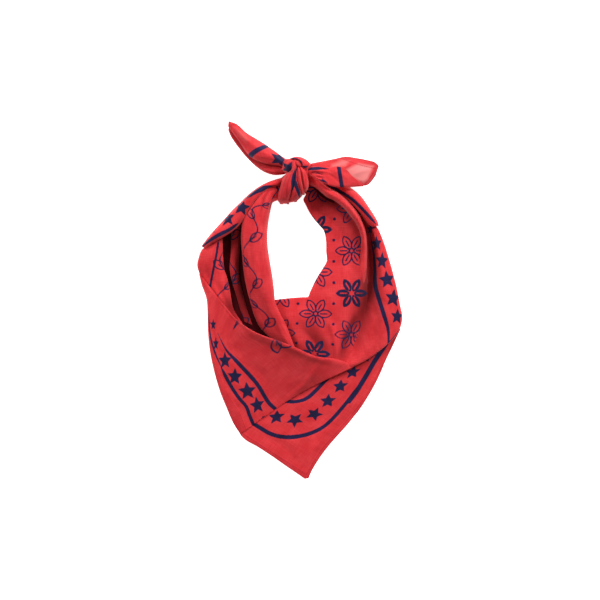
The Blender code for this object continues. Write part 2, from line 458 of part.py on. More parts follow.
Stretch = namedtuple("Stretch", "name sections stops left_roll right_roll end_roll end_foot seam along across")
STRETCHES = [
    Stretch("bib_lower", BIB_LOWER, QUARTERS, 0, 0, 0, 0, 0, 19, 6),
    Stretch("bib_upper", BIB_UPPER, QUARTERS, 3.2, 2.2, 2.2, 6.2, 0, 11, 5),
    Stretch("neck_left_side", NECK_LEFT_SIDE, QUARTERS, 2.6, 2.4, 0, 0, 0, 10, 4),
    Stretch("neck_left_outer", NECK_LEFT_OUTER, QUARTERS, 3.0, 2.4, 0, 0, 0, 13, 3),
    Stretch("neck_left_pleat", NECK_LEFT_PLEAT, QUARTERS, 2.2, 2.2, 0, 0, 0, 6, 3),
    Stretch("neck_left_inner", NECK_LEFT_INNER, QUARTERS, 3.0, 3.4, 0, 0, 0, 15, 4),
    Stretch("neck_right_inner", NECK_RIGHT_INNER, BOWL, 2.0, 0, 0, 0, 0, 13, 8),
    Stretch("cowl_inner", COWL_INNER, BOWL, 2.0, 0, 0, 0, 0.9, 10, 7),
    Stretch("neck_right_outer", NECK_RIGHT_OUTER, QUARTERS, 0, 3.0, 0, 0, 0, 13, 4),
    Stretch("neck_right_edge", NECK_RIGHT_EDGE, QUARTERS, 2.0, 2.8, 0, 0, 0, 7, 3),
    Stretch("knot_wrap", KNOT_WRAP, QUARTERS, 3.4, 3.4, 2.0, 2.0, 0, 8, 4),
    Stretch("knot_top", KNOT_TOP, QUARTERS, 2.2, 2.0, 0, 0, 0, 7, 3),
    Stretch("knot_left", KNOT_LEFT, QUARTERS, 2.0, 2.4, 0, 0, 0, 6, 3),
    Stretch("tail_left_upper", TAIL_LEFT_UPPER, QUARTERS, 2.2, 2.0, 0, 0, 0, 9, 3),
    Stretch("tail_left_under", TAIL_LEFT_UNDER, QUARTERS, 1.6, 2.4, 0, 0, 0, 9, 3),
    Stretch("tail_right", TAIL_RIGHT, QUARTERS, 2.6, 2.2, 0, 0, 0, 10, 4),
]

walls = [wall(stretch.name, loft(*stretch[1:]), red_print) for stretch in STRETCHES]
hidden_layers(walls, red_shade)
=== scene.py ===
"""A dog's neck scarf: a square red cotton bandana with a navy printed border, folded on its diagonal,
tied in a knot and laid flat on a pale table. The camera looks straight down on it.

Plan positions are pixels of a 600 x 600 view, heights are millimetres above the table, and cloth
coordinates are millimetres from the two hems that meet at the nearest corner of the square.
"""

import math
from collections import namedtuple

import bmesh
import bpy
import numpy as np
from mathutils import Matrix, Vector


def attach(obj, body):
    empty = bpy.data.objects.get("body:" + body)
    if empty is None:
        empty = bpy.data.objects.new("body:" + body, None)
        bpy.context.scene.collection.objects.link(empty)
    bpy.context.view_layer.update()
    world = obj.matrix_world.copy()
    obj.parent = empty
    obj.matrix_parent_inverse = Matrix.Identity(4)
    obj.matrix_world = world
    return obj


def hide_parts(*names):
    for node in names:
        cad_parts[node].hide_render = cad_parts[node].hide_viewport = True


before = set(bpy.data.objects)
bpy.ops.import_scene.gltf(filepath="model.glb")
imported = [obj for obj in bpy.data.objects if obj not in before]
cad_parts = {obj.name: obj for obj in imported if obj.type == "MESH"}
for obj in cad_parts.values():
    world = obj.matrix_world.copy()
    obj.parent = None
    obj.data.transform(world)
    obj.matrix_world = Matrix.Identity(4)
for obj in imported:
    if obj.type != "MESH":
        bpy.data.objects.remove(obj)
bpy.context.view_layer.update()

# ---------------------------------------------------------------- the table, the light and the camera
# A softly lit opal table top under soft lamps, as in a studio's overhead stand, so that the cloth keeps
# its shade and the table shows almost none. The camera hangs far above on a long lens.
MM = 0.001
PIXEL = 20 * MM / 19.25
PLAN_CENTRE_PX = (299.85, 300.15)
VIEW_PX = 600
CAMERA_HEIGHT = 3.0
SCALE_HEIGHT = 0.012  # the height at which a px of the view is PIXEL wide
SENSOR = 36.0

camera_data = bpy.data.cameras.new("camera")
camera_data.sensor_width = SENSOR
camera_data.lens = SENSOR * (CAMERA_HEIGHT - SCALE_HEIGHT) / (VIEW_PX * PIXEL)
camera = bpy.data.objects.new("camera", camera_data)
bpy.context.scene.collection.objects.link(camera)
camera.location = (
    (VIEW_PX / 2 - PLAN_CENTRE_PX[0]) * PIXEL,
    (PLAN_CENTRE_PX[1] - VIEW_PX / 2) * PIXEL,
    CAMERA_HEIGHT,
)
bpy.context.scene.camera = camera


def linear(hex_colour):
    """An sRGB hex colour as the linear values that shaders take."""
    parts = [int(hex_colour[start : start + 2], 16) / 255 for start in (1, 3, 5)]
    return tuple(c / 12.92 if c <= 0.04045 else ((c + 0.055) / 1.055) ** 2.4 for c in parts) + (1.0,)


def add_node(material, kind, inputs, **settings):
    """Adds a shader node with its settings, and its inputs as values or as other nodes' outputs."""
    node = material.node_tree.nodes.new("ShaderNode" + kind)
    for name, value in settings.items():
        setattr(node, name, value)
    for socket, value in inputs.items():
        if isinstance(value, bpy.types.NodeSocket):
            material.node_tree.links.new(value, node.inputs[socket])
        else:
            node.inputs[socket].default_value = value
    return node


TABLE_HALF = 3.0
table_mesh = bpy.data.meshes.new("table_top")
table_corners = [(x * TABLE_HALF, y * TABLE_HALF, 0) for x, y in ((-1, -1), (1, -1), (1, 1), (-1, 1))]
table_mesh.from_pydata(table_corners, [], [(0, 1, 2, 3)])
table_top = bpy.data.objects.new("table_top", table_mesh)
bpy.context.scene.collection.objects.link(table_top)
opal = bpy.data.materials.new("opal_acrylic_light_table")
opal.use_nodes = True
opal_shader = opal.node_tree.nodes["Principled BSDF"]
opal_shader.inputs["Base Color"].default_value = linear("#F4F3F2")
opal_shader.inputs["Roughness"].default_value = 0.9
opal_shader.inputs["Emission Color"].default_value = linear("#FFFFFF")
opal_shader.inputs["Emission Strength"].default_value = 0.95
table_mesh.materials.append(opal)

Lamp = namedtuple("Lamp", "name place size watts")
for lamp in (
    Lamp("key_softbox", (1.3, 1.35, 1.35), 0.6, 50),
    Lamp("fill_softbox", (-1.35, 1.1, 1.3), 0.6, 29),
    Lamp("front_softbox", (0.1, -1.6, 2.2), 1.2, 4),
):
    data = bpy.data.lights.new(lamp.name, "AREA")
    data.shape = "SQUARE"
    data.size = lamp.size
    data.energy = lamp.watts
    lamp_object = bpy.data.objects.new(lamp.name, data)
    bpy.context.scene.collection.objects.link(lamp_object)
    lamp_object.location = lamp.place
    lamp_object.rotation_euler = Vector(lamp.place).to_track_quat("Z", "Y").to_euler()

world = bpy.data.worlds.new("studio_white")
bpy.context.scene.world = world
world.use_nodes = True
world.node_tree.nodes["Background"].inputs["Color"].default_value = linear("#FFFFFF")
world.node_tree.nodes["Background"].inputs["Strength"].default_value = 0.26
bpy.context.scene.view_settings.view_transform = "Standard"

# ---------------------------------------------------------------- the cotton
# Plain-woven cotton lawn, piece-dyed red and screen-printed in navy. It is matt and a little fuzzy, its
# threads are uneven, and one layer alone lets the table shine through, which is painted in as a paler red.
# Attributes of each mesh say where the ink lies (ink, mm to its edge), where shade is painted in as a dark
# red (shade: deep folds, recesses and sides turned from the lamps) and where the cloth is single (sheer).
RED, RED_WORN = "#C4262D", "#D93B40"
# Painted light: a paler red where one layer shows, as the table would light it through.
RED_PAINTED_LIT_THROUGH = "#DF7E7C"  # one layer, lit through from the table
# Painted shade: the first red below is mixed in where a fold is deep, in a recess or on a side turned from
# the lamps; the second is the darker hem.
RED_PAINTED_SHADE, RED_HEM = "#620006", "#8E1220"
NAVY, NAVY_WORN = "#141130", "#221C48"
HEM_BAND_INNER, HEM_BAND_OUTER, HEM_BAND_SHADE = 4.4 * MM, 3.9 * MM, 0.16
STITCH_INSET, STITCH_PITCH = 3.2 * MM, 2.6 * MM
STITCH_OUTSIDE, STITCH_INSIDE = 0.5 * MM, 0.25 * MM
INK_EDGE = 0.25  # mm: half the width over which the ink ends
THREAD = 0.8 * MM  # the yarns stand 0.35 mm apart, too fine to show, so they are drawn coarser
SLUB = 14 * MM  # how far a thick place in a yarn runs

printed_cotton = bpy.data.materials.new("printed_cotton_lawn")
printed_cotton.use_nodes = True
shader = printed_cotton.node_tree.nodes["Principled BSDF"]
cloth_uv = add_node(printed_cotton, "UVMap", {}, uv_map="cloth").outputs["UV"]
threads = []
for stretch_u, stretch_v in ((1 / THREAD, 1 / SLUB), (1 / SLUB, 1 / THREAD)):
    yarn = add_node(printed_cotton, "Mapping", {"Vector": cloth_uv, "Scale": (stretch_u, stretch_v, 1)})
    threads.append(
        add_node(
            printed_cotton, "TexNoise", {"Vector": yarn.outputs["Vector"], "Scale": 1.0, "Detail": 1.0}
        ).outputs["Fac"]
    )
weave = add_node(printed_cotton, "Math", {0: threads[0], 1: threads[1]}, operation="ADD").outputs[0]
# Patches of worn colour, about 17 mm across.
cloudy = add_node(
    printed_cotton, "TexNoise", {"Vector": cloth_uv, "Scale": 60.0, "Detail": 3.0}
).outputs["Fac"]
tone = add_node(printed_cotton, "Math", {0: weave, 1: 0.5, 2: 0.0}, operation="MULTIPLY_ADD").outputs[0]
tone = add_node(printed_cotton, "Math", {0: tone, 1: cloudy, 2: 0.0}, operation="MULTIPLY").outputs[0]
tone = add_node(
    printed_cotton, "MapRange", {"Value": tone, "From Min": 0.15, "From Max": 0.4}
).outputs["Result"]


def mix_colours(factor, first, second, material=printed_cotton):
    """Mixes two colours in a new node, and gives its output."""
    node = add_node(material, "Mix", {}, data_type="RGBA")
    sockets = {s.identifier: s for s in node.inputs}
    for key, value in (("Factor_Float", factor), ("A_Color", first), ("B_Color", second)):
        if isinstance(value, bpy.types.NodeSocket):
            material.node_tree.links.new(value, sockets[key])
        else:
            sockets[key].default_value = value
    return next(s for s in node.outputs if s.identifier == "Result_Color")


reds = mix_colours(tone, linear(RED), linear(RED_WORN))
# Painted light: single cloth is painted paler, as if the table lit it through.
sheer_painted_light = add_node(printed_cotton, "Attribute", {}, attribute_name="sheer").outputs["Fac"]
reds = mix_colours(sheer_painted_light, reds, linear(RED_PAINTED_LIT_THROUGH))
# Painted shade: dark red is mixed in as far as the shade attribute says.
shade_amount = add_node(printed_cotton, "Attribute", {}, attribute_name="shade").outputs["Fac"]
reds = mix_colours(shade_amount, reds, linear(RED_PAINTED_SHADE))
hem_place = add_node(printed_cotton, "SeparateXYZ", {"Vector": cloth_uv}).outputs
both_hems = {0: hem_place["X"], 1: hem_place["Y"]}
from_hem = add_node(printed_cotton, "Math", both_hems, operation="MINIMUM").outputs[0]
along_hem = add_node(printed_cotton, "Math", both_hems, operation="MAXIMUM").outputs[0]
hem_band = add_node(
    printed_cotton,
    "MapRange",
    {"Value": from_hem, "From Min": HEM_BAND_INNER, "From Max": HEM_BAND_OUTER, "To Max": HEM_BAND_SHADE},
).outputs["Result"]
reds = mix_colours(hem_band, reds, linear(RED_HEM))
off_stitch = add_node(printed_cotton, "Math", {0: from_hem, 1: STITCH_INSET}, operation="SUBTRACT").outputs[0]
off_stitch = add_node(printed_cotton, "Math", {0: off_stitch}, operation="ABSOLUTE").outputs[0]
stitch_row = add_node(
    printed_cotton, "MapRange", {"Value": off_stitch, "From Min": STITCH_OUTSIDE, "From Max": STITCH_INSIDE}
).outputs["Result"]
stitch_turn = add_node(
    printed_cotton, "Math", {0: along_hem, 1: 2 * math.pi / STITCH_PITCH}, operation="MULTIPLY"
).outputs[0]
stitch_turn = add_node(printed_cotton, "Math", {0: stitch_turn}, operation="SINE").outputs[0]
# Between two stitches the thread dives into the cloth, where it shows less.
stitch_on = add_node(
    printed_cotton,
    "MapRange",
    {"Value": stitch_turn, "From Min": -0.6, "From Max": -0.2, "To Min": 0.25, "To Max": 0.6},
).outputs["Result"]
stitches = add_node(printed_cotton, "Math", {0: stitch_row, 1: stitch_on}, operation="MULTIPLY").outputs[0]
reds = mix_colours(stitches, reds, linear(RED_HEM))
navies = mix_colours(tone, linear(NAVY), linear(NAVY_WORN))
ink_distance = add_node(printed_cotton, "Attribute", {}, attribute_name="ink").outputs["Fac"]
inked = add_node(
    printed_cotton, "MapRange", {"Value": ink_distance, "From Min": INK_EDGE, "From Max": -INK_EDGE}
).outputs["Result"]
colour = mix_colours(inked, reds, navies)
printed_cotton.node_tree.links.new(colour, shader.inputs["Base Color"])
bump = add_node(printed_cotton, "Bump", {"Height": weave, "Strength": 0.35, "Distance": 0.25 * MM})
printed_cotton.node_tree.links.new(bump.outputs["Normal"], shader.inputs["Normal"])
shader.inputs["Roughness"].default_value = 0.85
shader.inputs["Sheen Weight"].default_value = 0.1
shader.inputs["Specular IOR Level"].default_value = 0.15
shader.inputs["Sheen Roughness"].default_value = 0.5

# ---------------------------------------------------------------- the hidden layers
# The folds that nothing shows, one on another round the neck opening. They are seen only in the gaps
# between the outer folds, as edges of cloth painted a near-black red for the shade there.
# Painted shade: the wrong side's colours run from near black to a dark red.
INSIDE_SHADE_DARKEST, INSIDE_SHADE_PALEST = "#1C0003", "#4A0007"
WELD = 0.01 * MM
SETTLED = 0.78  # the inner folds lie a little lower than the room that the outer ones leave them
folded_layers_mesh = bpy.data.objects["hidden_layers"].data.copy()
layers = bmesh.new()
layers.from_mesh(folded_layers_mesh)
bmesh.ops.remove_doubles(layers, verts=layers.verts, dist=WELD)
bmesh.ops.join_triangles(layers, faces=layers.faces, angle_face_threshold=0.6, angle_shape_threshold=1.2)
bmesh.ops.recalc_face_normals(layers, faces=layers.faces)
for vertex in layers.verts:
    vertex.co.z *= SETTLED
layers.to_mesh(folded_layers_mesh)
layers.free()
folded_layers = bpy.data.objects.new("folded_layers", folded_layers_mesh)
bpy.context.scene.collection.objects.link(folded_layers)
soften = folded_layers.modifiers.new("soft_folds", "SUBSURF")
soften.levels = 2
soften.render_levels = 2
# The lawn's wrong side, dyed but not printed, with its shade painted in. So deep in the folds hardly any
# light reaches it, so its red is painted close to black, with a soft painted change from fold to fold.
inner_cotton = bpy.data.materials.new("cotton_lawn_wrong_side_painted_shade")
inner_cotton.use_nodes = True
inner_shader = inner_cotton.node_tree.nodes["Principled BSDF"]
place = add_node(inner_cotton, "TexCoord", {}).outputs["Object"]
folds = add_node(inner_cotton, "TexNoise", {"Vector": place, "Scale": 90.0, "Detail": 4.0}).outputs["Fac"]
yarns = add_node(
    inner_cotton, "TexNoise", {"Vector": place, "Scale": 1 / THREAD, "Detail": 1.0}
).outputs["Fac"]
inner_painted_shade = mix_colours(folds, linear(INSIDE_SHADE_DARKEST), linear(INSIDE_SHADE_PALEST), inner_cotton)
inner_cotton.node_tree.links.new(inner_painted_shade, inner_shader.inputs["Base Color"])
inner_bump = add_node(inner_cotton, "Bump", {"Height": yarns, "Strength": 0.4, "Distance": 0.3 * MM})
inner_cotton.node_tree.links.new(inner_bump.outputs["Normal"], inner_shader.inputs["Normal"])
inner_shader.inputs["Roughness"].default_value = 0.9
inner_shader.inputs["Specular IOR Level"].default_value = 0.1
folded_layers_mesh.materials.clear()
folded_layers_mesh.materials.append(inner_cotton)
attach(folded_layers, "root")
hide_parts("hidden_layers")

# ---------------------------------------------------------------- the bib's lower layer
# The near corner of the square, which lies flat on the table, with its two narrow hems, the border's
# round corner and six of its stars. It is the first stretch that shows, so the print and the way that a
# stretch is laid come here.

# The square is printed before it is hemmed: a navy line, a row of stars and a second line run round it,
# with round corners. The print is kept as a distance to the nearest ink, in mm of flat cloth, at each
# point of a mesh, so that its edge stays sharp however the cloth lies.
LINE_WIDTH = 4.3
OUTER_INSET, OUTER_RADIUS = 18.0, 46.5
INNER_INSET, INNER_RADIUS = 55.0, 20.0
STAR_PITCH = 20.0
STAR_INSET, STAR_CORNER = 36.5, 64.5
STAR_TIP, STAR_NOTCH, STAR_ROUNDING = 9.6, 4.3, 0.35
LAST_CORNER_STAR = 8  # the stars past it stand upright, as do those before the corner
UPRIGHT_STAR = 1  # and so does this one in the corner
LEANING_STAR, STAR_LEAN = 2, math.radians(20)
FAR = 50.0  # further from any ink than a print is looked for
TINY = 1e-6


def line_distance(p, q, inset, radius):
    """Distance to a line that runs round the square, inset from its hems, with round corners."""
    x, y = inset + radius - p, inset + radius - q
    corner = np.hypot(np.maximum(x, 0), np.maximum(y, 0))
    return np.abs(corner + np.minimum(np.maximum(x, y), 0) - radius) - LINE_WIDTH / 2


def star_shape(x, y, turn):
    """Distance to a five-pointed star at the origin, one point of it at the angle turn."""
    fifth = 2 * math.pi / 5
    angle = np.abs((np.arctan2(y, x) - turn + fifth / 2) % fifth - fifth / 2)
    radius = np.hypot(x, y)
    along, out = radius * np.cos(angle), radius * np.sin(angle)
    edge = np.array([STAR_NOTCH * math.cos(fifth / 2) - STAR_TIP, STAR_NOTCH * math.sin(fifth / 2)])
    normal = np.array([edge[1], -edge[0]]) / np.hypot(*edge)
    return (along - STAR_TIP) * normal[0] + out * normal[1] + STAR_ROUNDING / 2


def star_distance(p, q):
    """Distance to the row of stars, which stand STAR_PITCH apart round the border's corner."""
    bend = STAR_CORNER - STAR_INSET
    theta = np.arctan2(np.maximum(STAR_CORNER - p, 0), np.maximum(STAR_CORNER - q, TINY))
    along = np.where(q > STAR_CORNER, bend * math.pi / 2 + q - STAR_CORNER, bend * theta)
    along = np.where((p > STAR_CORNER) & (p >= q), STAR_CORNER - p, along)
    number = np.round(along / STAR_PITCH)
    at = number * STAR_PITCH
    turn = np.clip(at / bend, 0, math.pi / 2)
    past = np.maximum(at - bend * math.pi / 2, 0)
    star_p = STAR_CORNER - bend * np.sin(turn) + np.maximum(-at, 0)
    star_q = STAR_CORNER - bend * np.cos(turn) + past
    upright = (number < 0) | (number == UPRIGHT_STAR) | (number > LAST_CORNER_STAR)
    turned = np.where(upright, math.radians(90), math.radians(270))
    turned = turned + np.where(number == LEANING_STAR, STAR_LEAN, 0)
    return star_shape(p - star_p, q - star_q, turned)


def border_print(p, q):
    """Distance to the border's two lines and its stars."""
    outer = line_distance(p, q, OUTER_INSET, OUTER_RADIUS)
    inner = line_distance(p, q, INNER_INSET, INNER_RADIUS)
    return np.minimum(np.minimum(outer, inner), star_distance(p, q))


# Inside the border the bandana has a generic all-over motif in thin navy lines with some solid shapes:
# six-petalled flowers in a half-drop repeat, the same size everywhere, and a wavy leaf vine round them.
SQUARE = 550.0
MIDDLE = SQUARE / 2
THIN_LINE = 1.4
REPEAT_ACROSS, REPEAT_DOWN, REPEAT_REACH = 38.0, 44.0, 130.0
PETALS, PETAL_MIDDLE, PETAL_LENGTH, PETAL_WIDTH = 6, 9.5, 15.0, 8.0
VEIN_SHIFT, VEIN_HALF = 1.0, 4.0
SOLID_EVERY = 3
DOT_RADIUS = 1.6
VINE_INSET, VINE_CORNER = 92.0, 152.0
VINE_WAVE, VINE_PITCH = 7.0, 46.0
LEAF_LEAN = math.radians(52)
LEAF_MIDDLE, LEAF_OFFSET, LEAF_BOW = 8.5, 5.6, 9.6
RIB_WIDTH, RIB_HALF = 1.0, 5.0


def petal_ring(x, y):
    """Distance to a ring of pointed petals round the origin, and the place on the nearest one of them."""
    sector = 2 * math.pi / PETALS
    angle = (np.arctan2(y, x) + sector / 2) % sector - sector / 2
    radius = np.hypot(x, y)
    along, aside = radius * np.cos(angle) - PETAL_MIDDLE, np.abs(radius * np.sin(angle))
    bow = (PETAL_LENGTH**2 + PETAL_WIDTH**2) / (4 * PETAL_WIDTH)
    return np.hypot(along, aside + bow - PETAL_WIDTH / 2) - bow, along, aside


def drawn(distance):
    """Distance to a thin line along the outline of a shape."""
    return np.abs(distance) - THIN_LINE / 2


def flower_repeat(x, y):
    """Flowers in a half-drop repeat, one in three of them solid, with dots between them."""
    column = np.round(x / REPEAT_ACROSS)
    drop = (column % 2) * REPEAT_DOWN / 2
    row = np.round((y - drop) / REPEAT_DOWN)
    u, v = x - column * REPEAT_ACROSS, y - drop - row * REPEAT_DOWN
    petals, along, aside = petal_ring(u, v)
    vein = np.maximum(aside - THIN_LINE / 2, np.abs(along + VEIN_SHIFT) - VEIN_HALF)
    solid = (column + row) % SOLID_EVERY == 1
    ink = np.where(solid, np.maximum(petals, -vein), np.minimum(drawn(petals), vein))
    dots = np.hypot(np.abs(u) - REPEAT_ACROSS / 2, np.abs(v) - REPEAT_DOWN / 4) - DOT_RADIUS
    ink = np.minimum(ink, dots)
    inside = np.maximum(np.abs(column * REPEAT_ACROSS), np.abs(drop + row * REPEAT_DOWN)) < REPEAT_REACH
    return np.where(inside, ink, FAR)


def vine(p, q):
    """A wavy stem with leaves to both sides, which runs round the square inside the border."""
    x, y = VINE_CORNER - p, VINE_CORNER - q
    bend = VINE_CORNER - VINE_INSET
    inward = bend - np.hypot(np.maximum(x, 0), np.maximum(y, 0)) - np.minimum(np.maximum(x, y), 0)
    turn = np.arctan2(np.maximum(x, 0), np.maximum(y, TINY))
    along = np.where(y < 0, bend * math.pi / 2 - y, bend * turn)
    along = np.where((x < 0) & (x <= y), x, along)
    pace = 2 * math.pi / VINE_PITCH
    slope = VINE_WAVE * pace * np.cos(pace * along)
    stem = (np.abs(inward - VINE_WAVE * np.sin(pace * along)) / np.hypot(1, slope)) - THIN_LINE / 2
    number = np.round(along / (VINE_PITCH / 2))
    at = number * VINE_PITCH / 2
    side = np.where(number % 2 == 0, 1.0, -1.0)
    u = along - at
    v = (inward - VINE_WAVE * np.sin(pace * at)) * side
    tip = u * math.cos(LEAF_LEAN) + v * math.sin(LEAF_LEAN)
    wide = v * math.cos(LEAF_LEAN) - u * math.sin(LEAF_LEAN)
    leaf = np.hypot(tip - LEAF_MIDDLE, np.abs(wide) + LEAF_OFFSET) - LEAF_BOW
    rib = np.maximum(np.abs(wide) - RIB_WIDTH / 2, np.abs(tip - RIB_HALF) - RIB_HALF)
    return np.minimum(stem, np.minimum(drawn(leaf), rib))


# Each stretch of the square that shows is a thin sheet through a short table of sections. A row holds the
# left x and y and the right x and y in px, five heights in mm from left to right, and the heights in mm of
# the left and right feet, where a free fold that rolls under like half an ellipse ends. Creases are listed,
# and pins say which point of the flat square lies at which place of the view.
COTTON_THICKNESS = 0.45 * MM
SHEET_PITCH = 0.9  # mm between the points of a sheet
LEAST_ROWS, LEAST_COLUMNS = 12, 8
HEM_WIDTH, HEM_EDGE, HEM_RISE = 4.2, 1.0, 0.35  # mm: the hem is turned twice, so it stands a little proud
ROLL_STEPS = 9
MOST_ROLL = 0.4  # of the width of a stretch, on each side
TABLE_FOOT = 0.4  # mm: nothing lies lower
BOW_START, BOW_RUN, BOW_POWER = 0.7, 0.3, 1.3  # an end bows over the last part of its length
LONG_WAVE, SHORT_WAVE, SHORT_SHARE = 34.0, 13.0, 0.35  # the slackness of laid cotton: mm, mm, a share
WAVE_COUNT, WAVE_SPREAD = 14, (0.6, 1.7)
PATH_STEPS = 10
CREASE_END, CREASE_FADE = 0.02, 0.6  # how a crease dies away at its ends
LEAST_TIP = 0.12  # the share of its width that a printed line keeps at its ends

# In a shades list a Crease places painted shade: its height is then the share of the painted dark red, not
# mm.
Crease = namedtuple("Crease", "height left_width right_width path")  # mm high, mm wide, px
Line = namedtuple("Line", "width taper path")  # a printed line, px, and the share of it that narrows
Pin = namedtuple("Pin", "x y p q")  # a place in the view, px, and the point of the square there, mm
Star = namedtuple("Star", "x y turn size squeeze")  # a star where the cloth turns away, px and degrees
QUARTERS = (0.0, 0.25, 0.5, 0.75, 1.0)


def smooth_rows(rows, position):
    """Rows of a table at fractional row numbers, on smooth curves through the rows."""
    rows = np.asarray(rows, float)
    last = len(rows) - 1
    row = np.minimum(position.astype(int), last - 1)
    part = (position - row)[:, None]
    before, start, end, after = (rows[np.clip(row + shift, 0, last)] for shift in (-1, 0, 1, 2))
    rise, fall, step = (end - before) / 2, (after - start) / 2, end - start
    return start + part * (rise + part * (3 * step - 2 * rise - fall + part * (rise + fall - 2 * step)))


def smooth_across(stops, values, at):
    """Values at the places at, one row of them to a row of values, with no overshoot between stops."""
    spans = np.diff(stops, axis=1)
    slopes = np.diff(values, axis=1) / spans
    product = slopes[:, :-1] * slopes[:, 1:]
    total = slopes[:, :-1] + slopes[:, 1:]
    inner = np.where(product > 0, 2 * product / np.where(product > 0, total, 1), 0)
    turns = np.hstack([slopes[:, :1], inner, slopes[:, -1:]])
    span = (at[:, :, None] >= stops[:, None, 1:-1]).sum(2)
    wide = np.take_along_axis(spans, span, 1)
    part = (at - np.take_along_axis(stops, span, 1)) / wide
    start, end = np.take_along_axis(values, span, 1), np.take_along_axis(values, span + 1, 1)
    rise = np.take_along_axis(turns, span, 1) * wide
    fall = np.take_along_axis(turns, span + 1, 1) * wide
    step = end - start
    return start + part * (rise + part * (3 * step - 2 * rise - fall + part * (rise + fall - 2 * step)))


def smooth_path(path):
    """Points on a smooth curve through a path, or on the straight run between its only two points."""
    path = np.asarray(path, float)
    if len(path) == 2:
        return path[0] + np.linspace(0, 1, PATH_STEPS + 1)[:, None] * (path[1] - path[0])
    return smooth_rows(path, np.linspace(0, len(path) - 1, PATH_STEPS * (len(path) - 1) + 1))


def beside(x, y, path):
    """Distance from a path, its sign (positive to the right), and how far along the nearest point is."""
    best = np.full(x.shape, np.inf)
    side, along = np.zeros(x.shape), np.zeros(x.shape)
    points = smooth_path(path)
    for number, (start, end) in enumerate(zip(points, points[1:])):
        run = end - start
        part = np.clip(((x - start[0]) * run[0] + (y - start[1]) * run[1]) / (run @ run), 0, 1)
        dx, dy = x - start[0] - part * run[0], y - start[1] - part * run[1]
        distance = np.hypot(dx, dy)
        nearer = distance < best
        best = np.where(nearer, distance, best)
        side = np.where(nearer, np.sign(run[0] * dy - run[1] * dx), side)
        along = np.where(nearer, (number + part) / (len(points) - 1), along)
    return best, side, along


def crease_height(x, y, crease):
    """A ridge, or a trough if its height is negative, that dies away at its ends."""
    distance, side, along = beside(x, y, crease.path)
    width = np.where(side > 0, crease.right_width, crease.left_width)
    ends = np.sin(math.pi * np.clip(along, CREASE_END, 1 - CREASE_END)) ** CREASE_FADE
    return crease.height * ends * np.exp(-((distance * PIXEL / MM / width) ** 2))


def pin_cloth(pins):
    """A smooth map from places in the view to cloth coordinates that goes through all the pins."""
    pins = np.asarray(pins, float)

    def bend(dx, dy):
        square = dx**2 + dy**2
        return square * np.log(np.maximum(square, TINY**2))

    count = len(pins)
    flat = np.hstack([np.ones((count, 1)), pins[:, :2]])
    system = np.zeros((count + 3, count + 3))
    system[:count, :count] = bend(pins[:, None, 0] - pins[None, :, 0], pins[:, None, 1] - pins[None, :, 1])
    system[:count, count:] = flat
    system[count:, :count] = flat.T
    weights = np.linalg.solve(system, np.vstack([pins[:, 2:], np.zeros((3, 2))]))

    def cloth_at(x, y):
        total = weights[count] + x[..., None] * weights[count + 1] + y[..., None] * weights[count + 2]
        for pin, weight in zip(pins, weights):
            total = total + bend(x - pin[0], y - pin[1])[..., None] * weight
        return total[..., 0], total[..., 1]

    return cloth_at


def unevenness(x, y, wavelength, seed):
    """Soft random waves of about unit height, for the slight slackness of laid cotton."""
    chance = np.random.default_rng(seed)
    total = np.zeros(x.shape)
    for _ in range(WAVE_COUNT):
        heading, shift = chance.uniform(0, 2 * math.pi, 2)
        pace = 2 * math.pi / (wavelength * chance.uniform(*WAVE_SPREAD))
        total += np.sin(pace * (x * math.cos(heading) + y * math.sin(heading)) + shift)
    return total / math.sqrt(WAVE_COUNT)


